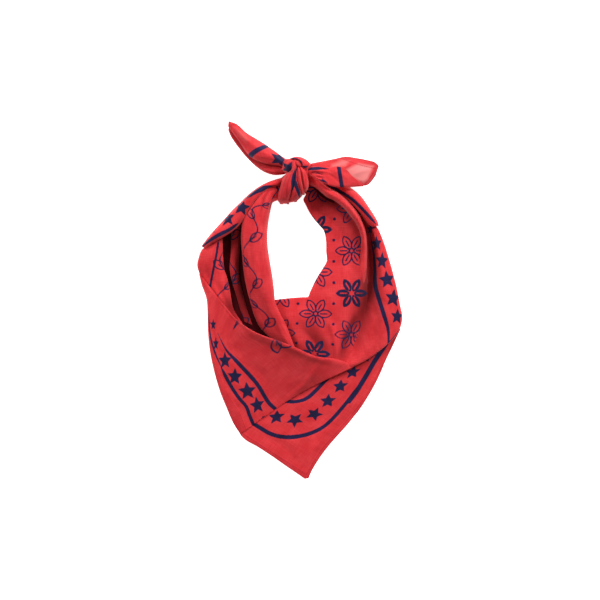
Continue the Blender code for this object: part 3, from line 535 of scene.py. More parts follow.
def lay_cloth(
    name,
    stands_for,
    sections,
    pins,
    stops=QUARTERS,
    left_roll=0.0,
    right_roll=0.0,
    end_roll=0.0,
    end_foot=(0.0, 0.0),
    end_bow=0.0,
    creases=(),
    lines=(),
    stars=(),
    shades=(),
    waves=0.25,
    seed=1,
    sheer=None,
    motif=True,
    border=True,
    pitch=SHEET_PITCH,
):
    """Makes and prints one stretch, and hides the CAD parts that it stands for. Rolls, feet and waves are in
    mm and end_bow is in px, and sheer tells how much a place is of single cloth."""
    table = np.array(sections, float)
    across = np.broadcast_to(np.asarray(stops, float), (len(table), len(QUARTERS)))
    xs = table[:, 0:1] + (table[:, 2:3] - table[:, 0:1]) * across
    ys = table[:, 1:2] + (table[:, 3:4] - table[:, 1:2]) * across
    zs, feet = table[:, 4:9], table[:, 9:11]
    mm_px = PIXEL / MM
    middle = np.stack([xs.mean(1), ys.mean(1)], 1) * mm_px
    length = np.hypot(*np.diff(middle, axis=0).T).sum()
    widest = (np.hypot(np.diff(xs, axis=1), np.diff(ys, axis=1)).sum(1) * mm_px).max()
    rows = max(int(length / pitch), LEAST_ROWS)
    columns = max(int(widest / pitch), LEAST_COLUMNS)
    # Along: an end that rolls under gets closer rows.
    along = np.linspace(0, 1, rows + 1)
    end_keep = np.ones(rows + 1)
    if end_roll:
        roll = end_roll / length
        angles = np.radians(np.linspace(90, -90, ROLL_STEPS + 1)[1:])
        along = np.concatenate([np.linspace(0, 1 - roll, rows + 1), 1 - roll * (1 - np.cos(angles))])
        end_keep = np.concatenate([np.ones(rows + 1), (1 + np.sin(angles)) / 2])
    position = along * (len(table) - 1)
    xs, ys, zs, feet, across = (smooth_rows(values, position) for values in (xs, ys, zs, feet, across))
    feet = np.maximum(feet, TABLE_FOOT)
    width = np.hypot(np.diff(xs, axis=1), np.diff(ys, axis=1)).sum(1)[:, None] * mm_px
    rolls = []
    for roll in (left_roll, right_roll):
        roll = np.interp(along, np.linspace(0, 1, np.size(roll)), np.atleast_1d(roll))[:, None]
        rolls.append(np.minimum(roll, MOST_ROLL * width) / width)
    left, right = rolls
    flat = np.linspace(0, 1, columns + 1)[None, :]
    at = left + (1 - left - right) * flat
    keep, side = np.ones(at.shape), np.zeros(at.shape, int)
    angles = np.radians(np.linspace(-90, 90, ROLL_STEPS + 1)[:-1])[None, :]
    roll_keep = np.repeat((1 + np.sin(angles)) / 2, len(at), 0)
    if np.any(left_roll):
        at = np.hstack([left * (1 - np.cos(angles)), at])
        keep, side = np.hstack([roll_keep, keep]), np.hstack([np.full(roll_keep.shape, -1), side])
    if np.any(right_roll):
        at = np.hstack([at, 1 - right * (1 - np.cos(angles[:, ::-1]))])
        keep, side = np.hstack([keep, roll_keep[:, ::-1]]), np.hstack([side, np.full(roll_keep.shape, 1)])
    x, y = smooth_across(across, xs, at), smooth_across(across, ys, at)
    bow = np.clip((along[:, None] - BOW_START) / BOW_RUN, 0, 1) ** 2
    y = y + end_bow * np.sin(math.pi * at) ** BOW_POWER * bow
    top = smooth_across(across, zs, at)
    for crease in creases:
        top = top + crease_height(x, y, crease) * (side == 0)
    foot = np.where(side < 0, feet[:, :1], feet[:, 1:])
    z = np.where(side == 0, top, foot + (top - foot) * keep)
    end_feet = np.interp(at, np.linspace(0, 1, len(end_foot)), end_foot)
    z = np.where(end_keep[:, None] < 1, end_feet + (z - end_feet) * end_keep[:, None], z)
    # Where the cloth would lie if its rolled edges were opened out, in px, for the print.
    steps = np.sqrt(
        (np.diff(x, axis=1) * mm_px) ** 2 + (np.diff(y, axis=1) * mm_px) ** 2 + np.diff(z, axis=1) ** 2
    )
    arc = np.hstack([np.zeros((len(x), 1)), np.cumsum(steps, 1)])
    open_x, open_y = x.copy(), y.copy()
    reach = ROLL_STEPS
    if np.any(left_roll):
        over = (arc[:, reach : reach + 1] - arc[:, :reach]) / mm_px
        run = np.stack([xs[:, 1] - xs[:, 0], ys[:, 1] - ys[:, 0]], 1)
        run /= np.hypot(*run.T)[:, None]
        open_x[:, :reach] = x[:, reach : reach + 1] - run[:, :1] * over
        open_y[:, :reach] = y[:, reach : reach + 1] - run[:, 1:] * over
    if np.any(right_roll):
        over = (arc[:, -reach:] - arc[:, -reach - 1 : -reach]) / mm_px
        run = np.stack([xs[:, -1] - xs[:, -2], ys[:, -1] - ys[:, -2]], 1)
        run /= np.hypot(*run.T)[:, None]
        open_x[:, -reach:] = x[:, -reach - 1 : -reach] + run[:, :1] * over
        open_y[:, -reach:] = y[:, -reach - 1 : -reach] + run[:, 1:] * over
    p, q = pin_cloth(pins)(open_x, open_y)
    hem = np.clip((HEM_WIDTH - np.minimum(p, q)) / HEM_EDGE, 0, 1) * HEM_RISE
    slack = hem + unevenness(p, q, LONG_WAVE, seed) * waves
    slack = slack + unevenness(p, q, SHORT_WAVE, seed + 1) * waves * SHORT_SHARE
    z = np.maximum(z + slack * keep * end_keep[:, None], TABLE_FOOT)
    ink = border_print(p, q) if border else np.full(p.shape, FAR)
    if motif:
        middle_print = np.minimum(flower_repeat(p - MIDDLE, q - MIDDLE), vine(p, q))
        ink = np.minimum(ink, middle_print)
    for line in lines:
        distance, _, on_line = beside(open_x, open_y, line.path)
        narrow = np.clip(np.minimum(on_line, 1 - on_line) / max(line.taper, TINY), LEAST_TIP, 1)
        ink = np.minimum(ink, (distance - line.width / 2 * narrow) * mm_px)
    for star in stars:
        across_star = (open_x - star.x) * mm_px / star.size / star.squeeze
        up_star = (star.y - open_y) * mm_px / star.size
        ink = np.minimum(ink, star_shape(across_star, up_star, math.radians(star.turn)))
    mesh = bpy.data.meshes.new(name)
    count, wide = x.shape
    corners = np.arange((count - 1) * wide).reshape(count - 1, wide)[:, :-1].ravel()
    faces = np.stack([corners, corners + 1, corners + wide + 1, corners + wide], 1)
    points = np.stack(
        [(x - PLAN_CENTRE_PX[0]) * PIXEL, (PLAN_CENTRE_PX[1] - y) * PIXEL, z * MM], -1
    ).reshape(-1, 3)
    mesh.from_pydata(points.tolist(), [], faces.tolist())
    if sum(face.normal.z * face.area for face in mesh.polygons) < 0:
        mesh.flip_normals()
    mesh.shade_smooth()
    cloth_map = mesh.uv_layers.new(name="cloth")
    vertices = np.empty(len(mesh.loops), int)
    mesh.loops.foreach_get("vertex_index", vertices)
    places = (np.stack([p.ravel(), q.ravel()], 1)[vertices] * MM).astype(np.float32)
    cloth_map.data.foreach_set("uv", places.ravel())
    # Painted light and shade: sheer says where the red is painted paler as if lit through, shade where a dark
    # red is painted in.
    see = np.zeros(x.shape) if sheer is None else sheer(open_x, open_y)
    shade = sum((crease_height(x, y, spot) for spot in shades), np.zeros(x.shape))
    for attribute, values in (("ink", ink), ("shade", shade), ("sheer", see)):
        data = mesh.attributes.new(attribute, "FLOAT", "POINT").data
        data.foreach_set("value", values.ravel().astype(np.float32))
    mesh.materials.append(printed_cotton)
    piece = bpy.data.objects.new(name, mesh)
    bpy.context.scene.collection.objects.link(piece)
    thicken = piece.modifiers.new("cotton_thickness", "SOLIDIFY")
    thicken.thickness = COTTON_THICKNESS
    thicken.offset = -1
    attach(piece, "root")
    # The steps along the sheet's middle column, which nothing further reads.
    centre = x.shape[1] // 2
    run = np.diff(np.stack([x[:, centre] * mm_px, y[:, centre] * mm_px, z[:, centre]], 1), axis=0)
    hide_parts(*stands_for)


BIB_LOWER = [
    (304.5, 479.2, 308.6, 478.8, 2.8, 2.9, 3, 2.9, 2.8, 0, 0),
    (296.5, 473.6, 312, 471, 2.8, 3.2, 3.4, 3.2, 2.8, 0, 0),
    (285, 465.8, 318.5, 460.2, 2.8, 3.5, 3.8, 3.5, 2.8, 0, 0),
    (271, 456, 327, 448.5, 2.8, 3.6, 4.2, 3.7, 2.8, 0, 0),
    (257.5, 447.2, 336.5, 437.3, 2.8, 3.6, 4.4, 3.9, 2.8, 0, 0),
    (245.5, 440.4, 345.3, 427.6, 2.8, 3.6, 4.5, 4, 2.8, 0, 0),
    (239.9, 433.2, 353.5, 417.7, 2.4, 3.7, 4.6, 4.1, 2.8, 0, 0),
    (246, 423.4, 361.2, 407.8, 2.6, 4.2, 4.9, 4.3, 3, 0, 0),
    (271, 407, 368.8, 395.8, 4, 4.6, 5, 4.5, 3.2, 0, 0),
    (296, 390.5, 375.3, 384.3, 4.4, 4.8, 5, 4.6, 3.3, 0, 0),
    (322, 376, 381.5, 371.3, 4.6, 4.9, 5, 4.7, 3.4, 0, 0),
    (341, 366, 386.5, 359.5, 4.7, 4.9, 5, 4.7, 3.5, 0, 0),
    (361, 355, 392.6, 347, 4.7, 4.8, 4.8, 4.5, 3.6, 0, 0),
    (383, 341, 398.2, 334.8, 4.6, 4.6, 4.5, 4.2, 3.8, 0, 0),
    (397.5, 329.5, 401, 329, 4.2, 4.2, 4.2, 4, 3.8, 0, 0),
]
BIB_LOWER_PINS = [
    Pin(307.5, 479.3, 0, 0), Pin(274, 457.8, 41.4, 0), Pin(240, 436, 83.3, 0), Pin(318, 461, 0, 21.9),
    Pin(332, 442, 0, 46.4), Pin(352, 419, 0, 78.1), Pin(370, 394, 0, 110.1), Pin(382, 370, 0, 138),
    Pin(395, 342, 0, 170), Pin(401, 329, 0, 185), Pin(276.5, 417.3, 64.5, 36.5),
    Pin(294.7, 420, 46.2, 43.3), Pin(314.4, 414.4, 36.8, 60.5), Pin(328, 401.3, 36.5, 80.5),
    Pin(340.4, 386.3, 36.5, 100.5), Pin(352.8, 372.4, 36.5, 120.5), Pin(365.2, 358.6, 36.5, 138.6),
]
lay_cloth(
    "bib_lower_layer",
    ["bib_lower"],
    BIB_LOWER,
    BIB_LOWER_PINS,
    lines=[Line(4.7, 0, [(390, 337), (384, 347.4), (375, 361), (366, 376.4), (357, 391), (348, 403)])],
    waves=0.3,
    # Painted shade along the fold line of the upper layer.
    shades=[
        Crease(0.2, 14, 16, [(276, 412), (300, 398), (322, 386), (345, 376), (392, 340)]),
        Crease(0.3, 3, 5, [(326, 380), (352, 368), (372, 357), (388, 345), (402, 328)]),
    ],
    creases=[
        Crease(0.8, 4, 5, [(330, 430), (318, 444), (306, 462)]),
        Crease(-0.7, 5, 4, [(262, 436), (282, 446), (298, 462)]),
        Crease(0.6, 3, 4, [(352, 402), (338, 418), (326, 436)]),
        Crease(-0.6, 3, 3, [(356, 410), (348, 420), (336, 432)]),
    ],
    seed=11,
)

# ---------------------------------------------------------------- the bib's upper layer
# The front fold of the bib. It rolls over the cowl along its upper edge and turns under along the
# diagonal fold line, over the lower layer, and it carries the border's left run.
BIB_UPPER = [
    (198.8, 273.9, 203.3, 278.4, 9.5, 10, 10.4, 10.6, 10.6, TABLE_FOOT, 7),
    (201.5, 285, 212, 289.5, 10, 11.6, 12.8, 13.6, 14, TABLE_FOOT, 9.5),
    (206, 298, 223.5, 304, 10.6, 12.8, 14.4, 16.2, 17.4, TABLE_FOOT, 12.2),
    (207.3, 312, 238, 320.5, 11, 13.4, 15.4, 18, 20.4, TABLE_FOOT, 14.5),
    (207.6, 330, 256, 332.2, 10.6, 13, 15.6, 19, 22.8, TABLE_FOOT, 16.5),
    (209.5, 350, 276, 339.8, 9.6, 12, 14.6, 18.4, 23.6, TABLE_FOOT, 17),
    (213.5, 370, 295, 347, 8.8, 11, 13.6, 17.4, 23.4, TABLE_FOOT, 17),
    (219.5, 391, 315, 355.8, 7.8, 9.8, 12.4, 15.6, 19.6, TABLE_FOOT, 14),
    (226.5, 408.5, 333, 358.4, 6.6, 8.4, 10.6, 13.2, 15.4, 0.8, 10),
    (232.6, 422.8, 346, 362, 4.4, 6.2, 8.4, 10.8, 12.2, 0.8, 8),
    (239.8, 434.2, 353, 367, 3.2, 4.6, 5.6, 7.4, 9.8, 1.4, 6.5),
]
BIB_UPPER_PINS = [
    Pin(257.7, 406.6, 84.5, 36.5), Pin(247.2, 391.6, 104.5, 36.5), Pin(234.6, 378.2, 124.5, 36.5),
    Pin(225.6, 361.8, 144.5, 36.5), Pin(216.4, 344.5, 164.5, 36.5), Pin(213.5, 325.5, 184.5, 36.5),
    Pin(253, 424, 74, 18), Pin(246.5, 407.6, 90, 18), Pin(238.5, 398, 102, 18), Pin(225, 374, 129, 18),
    Pin(212, 343, 162, 18), Pin(208, 308, 198, 18), Pin(276.5, 409.8, 70, 55), Pin(267.7, 401.8, 82, 55),
    Pin(256, 382.7, 104, 55), Pin(237, 362, 132, 55), Pin(219.3, 337, 168, 55), Pin(300, 393.5, 67.5, 79),
    Pin(345, 366, 60, 133.5), Pin(265, 335.5, 137, 89), Pin(236, 318, 170, 77), Pin(300, 349, 103, 108),
]
lay_cloth(
    "bib_upper_layer",
    ["bib_upper"],
    BIB_UPPER,
    BIB_UPPER_PINS,
    left_roll=3.2,
    right_roll=(2, 2.4, 3, 3.4, 3.6, 4, 4.4, 5, 6, 6, 5),
    border=False,
    end_roll=0.6,
    end_foot=(3.1, 4.5, 5.2, 5.4, 5.4),
    end_bow=-4.8,
    lines=[
        Line(1.8, 0.3, [(207.6, 300), (208.2, 318), (210.6, 338), (216.6, 357), (225, 374)]),
        Line(
            3.5, 0.1,
            [(220, 365), (229, 383), (238.5, 397.6), (246, 406.6), (249.6, 416), (254, 426), (262, 440)],
        ),
        Line(
            4, 0.3,
            [(217.6, 333), (226, 349.6), (237, 361.8), (256, 382.7), (267.6, 401.4), (277, 411),
             (296, 430), (316, 449)],
        ),
    ],
    stars=[
        Star(257.2, 405.4, 100, 1.06, 0.84),
        Star(247.2, 391.2, 96, 1.1, 1),
        Star(234.8, 376.6, 88, 1.06, 0.88),
        Star(225, 360.6, 92, 1.04, 0.78),
        Star(215.8, 343.8, 90, 0.84, 0.42),
        Star(213.2, 324.6, 90, 0.72, 0.52),
        Star(263.6, 418.4, 60, 0.36, 1),
    ],
    # Painted shade: broad over this layer, which is turned from the lamps, and along its creases.
    shades=[
        Crease(0.24, 50, 34, [(240, 322), (262, 350), (290, 368), (326, 368)]),
        Crease(0.2, 14, 10, [(322, 360), (318, 372), (306, 384), (296, 396)]),
        Crease(0.35, 2, 3, [(246, 333), (262, 341), (285, 348), (306, 357), (326, 363), (344, 367)]),
    ],
    creases=[
        Crease(1.7, 4.4, 2.6, [(322, 358), (315, 369), (306, 382), (296, 392), (284, 401)]),
        Crease(-0.9, 5, 4, [(213, 288), (222, 302), (234, 318), (250, 334)]),
        Crease(-0.8, 6, 8, [(232, 346), (252, 366), (270, 388), (278, 402)]),
        Crease(0.7, 6, 6, [(222, 352), (236, 376), (252, 396)]),
    ],
    seed=21,
)

# ---------------------------------------------------------------- the left side of the neck
# The scarf's left arm runs up to the knot as three soft rolls and a pleat between them: the outer roll
# with the border's stars, the side that drops under it, and the inner roll beside the neck opening.
NECK_LEFT_SIDE = [
    (208.5, 244.5, 222.3, 238, 9, 10.4, 11, 9.5, 6, 3, 2),
    (201.6, 249.5, 222.6, 246.5, 10, 12.4, 12.8, 11, 6, TABLE_FOOT, 1.2),
    (198.2, 258, 223, 257, 10, 12.6, 13, 11.4, 6, TABLE_FOOT, 1.2),
    (197, 266, 224, 268, 8.6, 11, 12, 11.4, 7, TABLE_FOOT, 1.2),
    (199.6, 275, 227.4, 279, 6.6, 9, 10.6, 10.8, 7.4, 2, 1.2),
    (203, 285, 229.6, 288.6, 6.2, 7.8, 9.8, 10.2, 6.6, 3, 1.2),
    (209, 296, 231, 298, 6, 7.6, 9, 9, 5, 4.5, 1.2),
    (217, 306, 233, 308, 5.5, 6.5, 7, 6, 4, 3, 1),
    (227, 314, 238, 317, 4, 5, 5.2, 4.6, 3, 1, 1),
    (236, 321, 243, 324, 3, 3.6, 3.8, 3.4, 2.6, 1, 1),
]
lay_cloth(
    "neck_left_side_fold",
    ["neck_left_side"],
    NECK_LEFT_SIDE,
    [Pin(198, 258, 346, 62), Pin(223, 257, 345, 88), Pin(211, 243, 330, 72), Pin(235, 303, 398, 104)],
    border=False,
    left_roll=2.6,
    right_roll=2.4,
    creases=[
        Crease(-0.9, 2, 3, [(207, 252), (205, 262), (206, 272), (211, 284)]),
        Crease(-1.6, 4, 3, [(212, 278), (217, 286), (221, 294), (226, 301)]),
        Crease(0.8, 2, 2, [(213, 247), (211, 260), (212, 272)]),
    ],
    # Painted shade where the side drops behind the bib's crest.
    shades=[Crease(0.75, 4, 4, [(226, 296), (229, 304), (233, 311), (239, 319)])],
    lines=[Line(2.2, 0.1, [(218.4, 240), (216.7, 253), (213.9, 267), (210.4, 284.6), (209, 296)])],
    seed=31,
)

NECK_LEFT_OUTER = [
    (286.5, 176, 284.5, 185.9, 14, 15, 15.5, 15, 13, 9, 9),
    (279, 178.3, 277.8, 186.5, 16, 18, 19, 18.5, 15, 4, 9),
    (270, 181, 269.5, 188.9, 17, 21, 22, 21, 17, TABLE_FOOT, 9),
    (260, 185.8, 264.3, 193.3, 18, 22.5, 24, 22.5, 18, TABLE_FOOT, 9),
    (250, 192.8, 256.3, 201.4, 18, 23, 24.5, 23, 18, TABLE_FOOT, 10),
    (241, 201.5, 249.3, 211.3, 18, 23, 24.5, 23, 18, TABLE_FOOT, 11),
    (232, 210.2, 243.4, 220.4, 17, 22.5, 24, 23, 19, TABLE_FOOT, 12),
    (222.5, 220.8, 234.4, 230, 15.5, 21.5, 23, 22.5, 19.5, TABLE_FOOT, 14),
    (213.5, 230.5, 222.6, 237.9, 14, 20, 21.5, 21.5, 19, TABLE_FOOT, 14.4),
    (206, 239.5, 211.8, 243.6, 13, 17.5, 19, 19, 17.5, TABLE_FOOT, 13.8),
    (201.4, 246.2, 205.4, 248.7, 12.5, 14.5, 15.5, 16, 15.8, 11, 13.4),
]
lay_cloth(
    "neck_left_outer_roll",
    ["neck_left_outer"],
    NECK_LEFT_OUTER,
    [
        Pin(242.3, 208, 264.5, 36.5), Pin(228.5, 219, 284.5, 36.5), Pin(214, 231, 304.5, 36.5),
        Pin(248, 195.5, 259, 18), Pin(257, 189, 246, 18), Pin(265, 187, 236, 18), Pin(272, 185.5, 228, 18),
        Pin(202, 245.5, 324, 55), Pin(213, 239, 308, 55), Pin(222, 234, 297, 55), Pin(230, 230, 287, 55),
        Pin(238, 226, 277, 55),
    ],
    border=False,
    motif=False,
    lines=[
        Line(
            5.6, 0.3,
            [(239, 204.4), (245.6, 198), (251, 194), (257, 191), (264, 188.8), (271, 187.2), (275, 186.2)],
        ),
        Line(3.7, 0.12, [(199, 248.6), (205, 243.4), (213, 238.6), (222, 233.6), (231, 229.2), (240, 222.6)]),
    ],
    stars=[
        Star(242, 207.6, 78, 1.06, 0.96),
        Star(227.4, 218.4, 96, 1.02, 0.94),
        Star(213.2, 230.8, 80, 0.34, 0.6),
    ],
    creases=[
        Crease(-1, 1.6, 2.4, [(276, 181), (264, 187), (254, 197), (246, 207)]),
        Crease(0.8, 2, 1.6, [(270, 182), (256, 190), (242, 204), (228, 218)]),
        Crease(-0.7, 1.4, 1.8, [(250, 203), (240, 213), (229, 223), (217, 232)]),
    ],
    left_roll=3,
    right_roll=2.4,
    seed=41,
)

NECK_LEFT_PLEAT = [
    (231.4, 224.5, 240.3, 219.5, 4, 6, 6.6, 6, 4, 0.8, 0.8),
    (231, 238, 240, 236, 4.6, 6.8, 7.4, 6.6, 4, 0.8, 0.8),
    (230.4, 253, 239.4, 252, 4.6, 7, 7.4, 6.4, 3.6, 0.8, 0.8),
    (229.4, 268, 238.4, 268, 4.2, 6.2, 6.6, 5.6, 3.2, 0.8, 0.8),
    (231.6, 281, 240, 282, 3.6, 5, 5.2, 4.4, 2.8, 0.8, 0.8),
    (235.5, 294, 243.6, 295.5, 2.8, 3.8, 4, 3.4, 2.2, 0.8, 0.8),
    (239.5, 308, 247.4, 310, 1.8, 2.6, 2.8, 2.4, 1.6, 0.6, 0.6),
    (244.5, 322, 252.4, 325, 1.2, 1.6, 1.8, 1.6, 1.2, 0.6, 0.6),
]
lay_cloth(
    "neck_left_deep_pleat",
    ["neck_left_pleat"],
    NECK_LEFT_PLEAT,
    [Pin(232, 230, 280, 96), Pin(241, 230, 280, 106), Pin(231, 255, 306, 96), Pin(247, 300, 353, 106)],
    border=False,
    left_roll=2.2,
    right_roll=2.2,
    # Painted shade over the pleat, which lies deep between the rolls.
    shades=[
        Crease(0.62, 16, 9, [(238, 206), (238, 228), (238, 250), (239, 274), (243, 302)]),
        Crease(0.8, 12, 12, [(236, 276), (241, 296), (246, 314), (254, 336)]),
    ],
    seed=51,
)

NECK_LEFT_INNER = [
    (280.8, 185.4, 283, 198.5, 13, 15, 16, 15, 12, 9, 6),
    (274.3, 186.4, 277, 200.5, 15, 18, 19, 18, 14, 7, 3),
    (267.3, 188.4, 272.6, 202.8, 18, 21.5, 22.5, 21.5, 16, 5, TABLE_FOOT),
    (261.4, 192.8, 270.8, 209, 20, 23.5, 24.5, 23, 17.5, 4, TABLE_FOOT),
    (254.4, 200.4, 269.2, 217, 20.5, 24, 25.3, 24.5, 18, 3, TABLE_FOOT),
    (247.8, 210.2, 268, 226, 21, 24, 25.6, 25, 18, 3, TABLE_FOOT),
    (242.6, 220.2, 267.4, 235, 21, 23.6, 25.4, 25, 18, 3, TABLE_FOOT),
    (240.9, 237.7, 267.8, 247, 20.5, 22.8, 25, 24.6, 17.5, 3, TABLE_FOOT),
    (242.2, 257, 269.6, 259.5, 18, 21, 24, 24, 17, 3, TABLE_FOOT),
    (243.8, 273.5, 272.2, 275, 14.6, 18.4, 22.4, 23, 16.5, 3, TABLE_FOOT),
    (246.4, 288, 274, 289, 11, 15.6, 20, 21.8, 16.5, 3, TABLE_FOOT),
    (250, 302, 275.4, 302, 8, 12.6, 17, 20, 16.8, 2, 5.6),
    (253.8, 315, 280.8, 314.5, 6, 9.6, 14, 18, 16.6, 2, 7.6),
    (259.5, 327, 286.6, 326, 5.5, 8.2, 12.2, 16.2, 15.8, 2, 9.4),
    (268, 336, 292, 340, 5.5, 7.8, 11.4, 15.2, 15, 2.5, 9.6),
    (274, 341.5, 295.5, 348, 6, 8, 11, 14, 13.8, 3, 9.4),
    (280, 345.5, 299, 353, 6, 7.6, 9.4, 11, 10.6, 3, 7.4),
]
lay_cloth(
    "neck_left_inner_roll",
    ["neck_left_inner"],
    NECK_LEFT_INNER,
    [
        Pin(276, 189, 222, 88), Pin(276, 199, 224, 100), Pin(249, 211, 260, 82), Pin(268, 226, 268, 108),
        Pin(242, 257, 304, 84), Pin(269.6, 259.5, 304, 116), Pin(250, 302, 352, 84),
        Pin(276, 302, 352, 114), Pin(292, 340, 396, 112),
    ],
    left_roll=3,
    right_roll=3.4,
    creases=[
        Crease(-2.2, 1.2, 1.8, [(275, 189), (269, 191), (264.6, 198), (261.6, 207), (259.6, 220)]),
        Crease(1.3, 1.6, 1.6, [(271, 194), (267, 201), (264, 211), (262.6, 224)]),
        Crease(-1.2, 1, 1.2, [(276, 187), (279, 192), (278, 198)]),
        Crease(-0.9, 2, 1.4, [(257, 202), (253, 212), (250, 224), (248, 238)]),
        Crease(0.7, 2, 2.4, [(252, 214), (249, 230), (248, 250), (250, 272)]),
        Crease(-0.7, 3, 2, [(262, 226), (259, 246), (260, 266), (264, 288)]),
        Crease(0.9, 2.4, 2.4, [(270, 296), (275, 308), (281, 322), (288, 336)]),
        Crease(-0.8, 2.4, 2.4, [(256, 288), (262, 304), (270, 320), (280, 334)]),
    ],
    # Painted shade in the creases and along the roll's shaded flanks.
    shades=[
        Crease(0.5, 4, 4, [(248, 296), (252, 312), (258, 324), (267, 335), (276, 343)]),
        Crease(0.45, 0.8, 1.2, [(274.6, 189), (269, 191.4), (264.8, 198), (261.8, 207), (260, 219)]),
        Crease(0.5, 1.6, 1.6, [(241.4, 222), (241, 236), (242, 256), (243.6, 272), (247, 292)]),
        Crease(0.4, 1.2, 1.2, [(262, 190.6), (256, 197), (250, 204), (245, 212), (242, 221)]),
    ],
    seed=61,
)

# ---------------------------------------------------------------- the right side of the neck
# The right arm comes down from the knot as one hollow surface that runs on into the cowl at the back of
# the bib. A high fold bounds it, then a valley, then the outer strip with the border's stars, and a
# narrow turned edge with the outer line lies along the top.
NECK_RIGHT_HOLLOW = [
    (305, 187, 303, 176.5, 9, 10, 11, 12, 12, 7, 2),
    (307.6, 191.6, 309, 178, 8, 8.6, 9.6, 11, 12, 5, 2),
    (303.3, 199, 318, 183, 7, 7.4, 7.8, 9, 11, 3, 2),
    (306, 205.5, 327, 190, 6.2, 6.4, 6.6, 7.8, 10.4, TABLE_FOOT, 2),
    (309.3, 212, 338, 197, 5.8, 6.4, 6.8, 8, 10.6, TABLE_FOOT, 2),
    (313.8, 218.5, 350, 207, 5.6, 6.6, 7.4, 8.8, 10.8, TABLE_FOOT, 2),
    (318.8, 224.5, 358.6, 218, 5.4, 6.8, 8.2, 10, 11.6, TABLE_FOOT, 2),
    (324, 231, 363.5, 230, 5.2, 6.8, 9, 11.4, 12.4, TABLE_FOOT, 2),
    (326, 241, 364.5, 242, 5.2, 6.8, 9.4, 12.6, 13.2, TABLE_FOOT, 2),
    (326.2, 251, 365, 254.2, 5.2, 7, 10, 14.4, 14.6, TABLE_FOOT, 2),
    (326.8, 260.5, 366.2, 268, 5.2, 7.2, 10.8, 17.2, 13, TABLE_FOOT, 2),
    (322.5, 268.8, 368.4, 284, 5.2, 7.4, 11.2, 17, 1.8, TABLE_FOOT, 0),
    (317.5, 276.5, 368.6, 300, 5.2, 7.4, 11, 15.6, 2, TABLE_FOOT, 0),
    (313.2, 285, 366, 316, 5, 7.4, 10.8, 14.6, 2.6, TABLE_FOOT, 0),
    (310, 292, 361, 332, 4.8, 7.2, 10.2, 13.6, 3.8, TABLE_FOOT, 0),
    (308, 296.6, 354.6, 348, 4.6, 7, 9.6, 12.8, 5, TABLE_FOOT, 0),
    (303, 297, 347, 361.5, 4.6, 7, 9, 12.2, 8, TABLE_FOOT, 0),
    (296.5, 297.4, 334, 361.5, 4.6, 6.8, 8.6, 11.4, 10, TABLE_FOOT, 0),
    (289.5, 298, 318.5, 359.5, 4.6, 6.6, 8.2, 9.8, 9.2, TABLE_FOOT, 0),
    (282.5, 298.8, 304, 354.5, 4.6, 6, 7.2, 8.4, 7.8, TABLE_FOOT, 0),
    (276, 299.6, 292.5, 349, 4.4, 5.4, 6.2, 7, 6.6, 1, 0),
    (270.5, 301, 283.5, 344.5, 3.8, 4.6, 5.2, 5.6, 5.4, 1.6, 0),
]
CREST_AT = [0.86] * 10 + [0.88, 0.8, 0.73, 0.7, 0.7, 0.74, 0.78, 0.9, 0.9, 0.88, 0.88, 0.88]
lay_cloth(
    "neck_right_hollow",
    ["neck_right_inner", "cowl_inner"],
    NECK_RIGHT_HOLLOW,
    [
        Pin(316, 272, 275, 275), Pin(346, 272, 243, 275), Pin(316, 242, 275, 306), Pin(346, 242, 243, 306),
        Pin(330, 196, 262, 354), Pin(300, 300, 292, 246), Pin(300, 345, 290, 196), Pin(350, 345, 238, 198),
    ],
    stops=[(0, 0.34 * crest, 0.7 * crest, crest, 1) for crest in CREST_AT],
    left_roll=2,
    # Painted shade in the hollow under the high fold, in the valley and in the cowl's creases.
    shades=[
        Crease(0.8, 12, 7, [(304, 180), (314, 189), (324, 197), (335, 203), (342, 208)]),
        Crease(0.75, 5, 5, [(330, 202), (342, 211), (350, 220), (356, 229), (359, 242), (359, 256)]),
        Crease(0.95, 14, 9, [(368, 266), (368, 282), (366.6, 298), (363, 314), (358, 330)]),
        Crease(0.5, 7, 7, [(275, 322), (282, 334), (292, 345), (306, 352)]),
        Crease(0.22, 26, 26, [(290, 318), (308, 336), (330, 345)]),
        Crease(0.7, 8, 3, [(304, 326), (313, 338), (321, 347), (331, 361)]),
        Crease(0.8, 5, 3.4, [(356, 314), (349, 328), (344, 342), (341, 358)]),
    ],
    creases=[
        Crease(-2.2, 5, 3.6, [(309, 328), (316, 338), (324, 348), (330, 358)]),
        Crease(2.2, 3.4, 3, [(328, 320), (333, 332), (336, 346), (336, 362)]),
        Crease(-1.8, 5, 5, [(284, 316), (284, 330), (292, 344), (304, 352)]),
        Crease(1.2, 4, 4, [(300, 306), (303, 320), (309, 336)]),
        Crease(0.9, 3, 4, [(328, 214), (337, 226), (342, 244), (342, 262)]),
        Crease(-0.8, 3, 3, [(320, 210), (333, 219), (345, 236), (350, 256)]),
    ],
    seed=71,
)

NECK_RIGHT_HIGH = [
    (303, 180, 303.6, 172, 14, 16.5, 17, 16, 13, 8, 4),
    (307, 183, 310.6, 173.8, 16, 18.5, 19, 18, 15, 12, 6),
    (316, 188.4, 319, 179, 19, 23.5, 25, 24, 19, 12, 5),
    (326, 196.8, 328.6, 187.2, 20, 25, 26.5, 25, 20, 11.4, 4),
    (335, 201.4, 337.4, 192, 20, 25.5, 27, 25.5, 20, 11, 3),
    (343, 207.8, 347, 200, 20, 25.5, 27, 25, 20, 11, 2.5),
    (350, 215.8, 354.8, 208.8, 19.5, 24.5, 26, 24.5, 19, 11, 2.5),
    (356.6, 225, 361, 218.8, 19, 23.5, 25, 23.6, 18, 11, 2.5),
    (360.6, 236, 365.8, 232, 18.5, 22, 23.5, 22, 17, 11.6, 2.5),
    (361, 247, 367.2, 246, 17.6, 20.5, 21.8, 20.5, 16, 12.6, 2.5),
    (359.6, 260, 367.2, 260, 17.4, 18.8, 19.4, 18.2, 14.2, 13.5, 2.5),
    (358, 272, 366.6, 274, 16, 17, 17, 15.4, 11, 13, 2.5),
    (356, 284, 364.6, 288, 13, 13.4, 12.8, 11, 7, 11, 2.5),
]
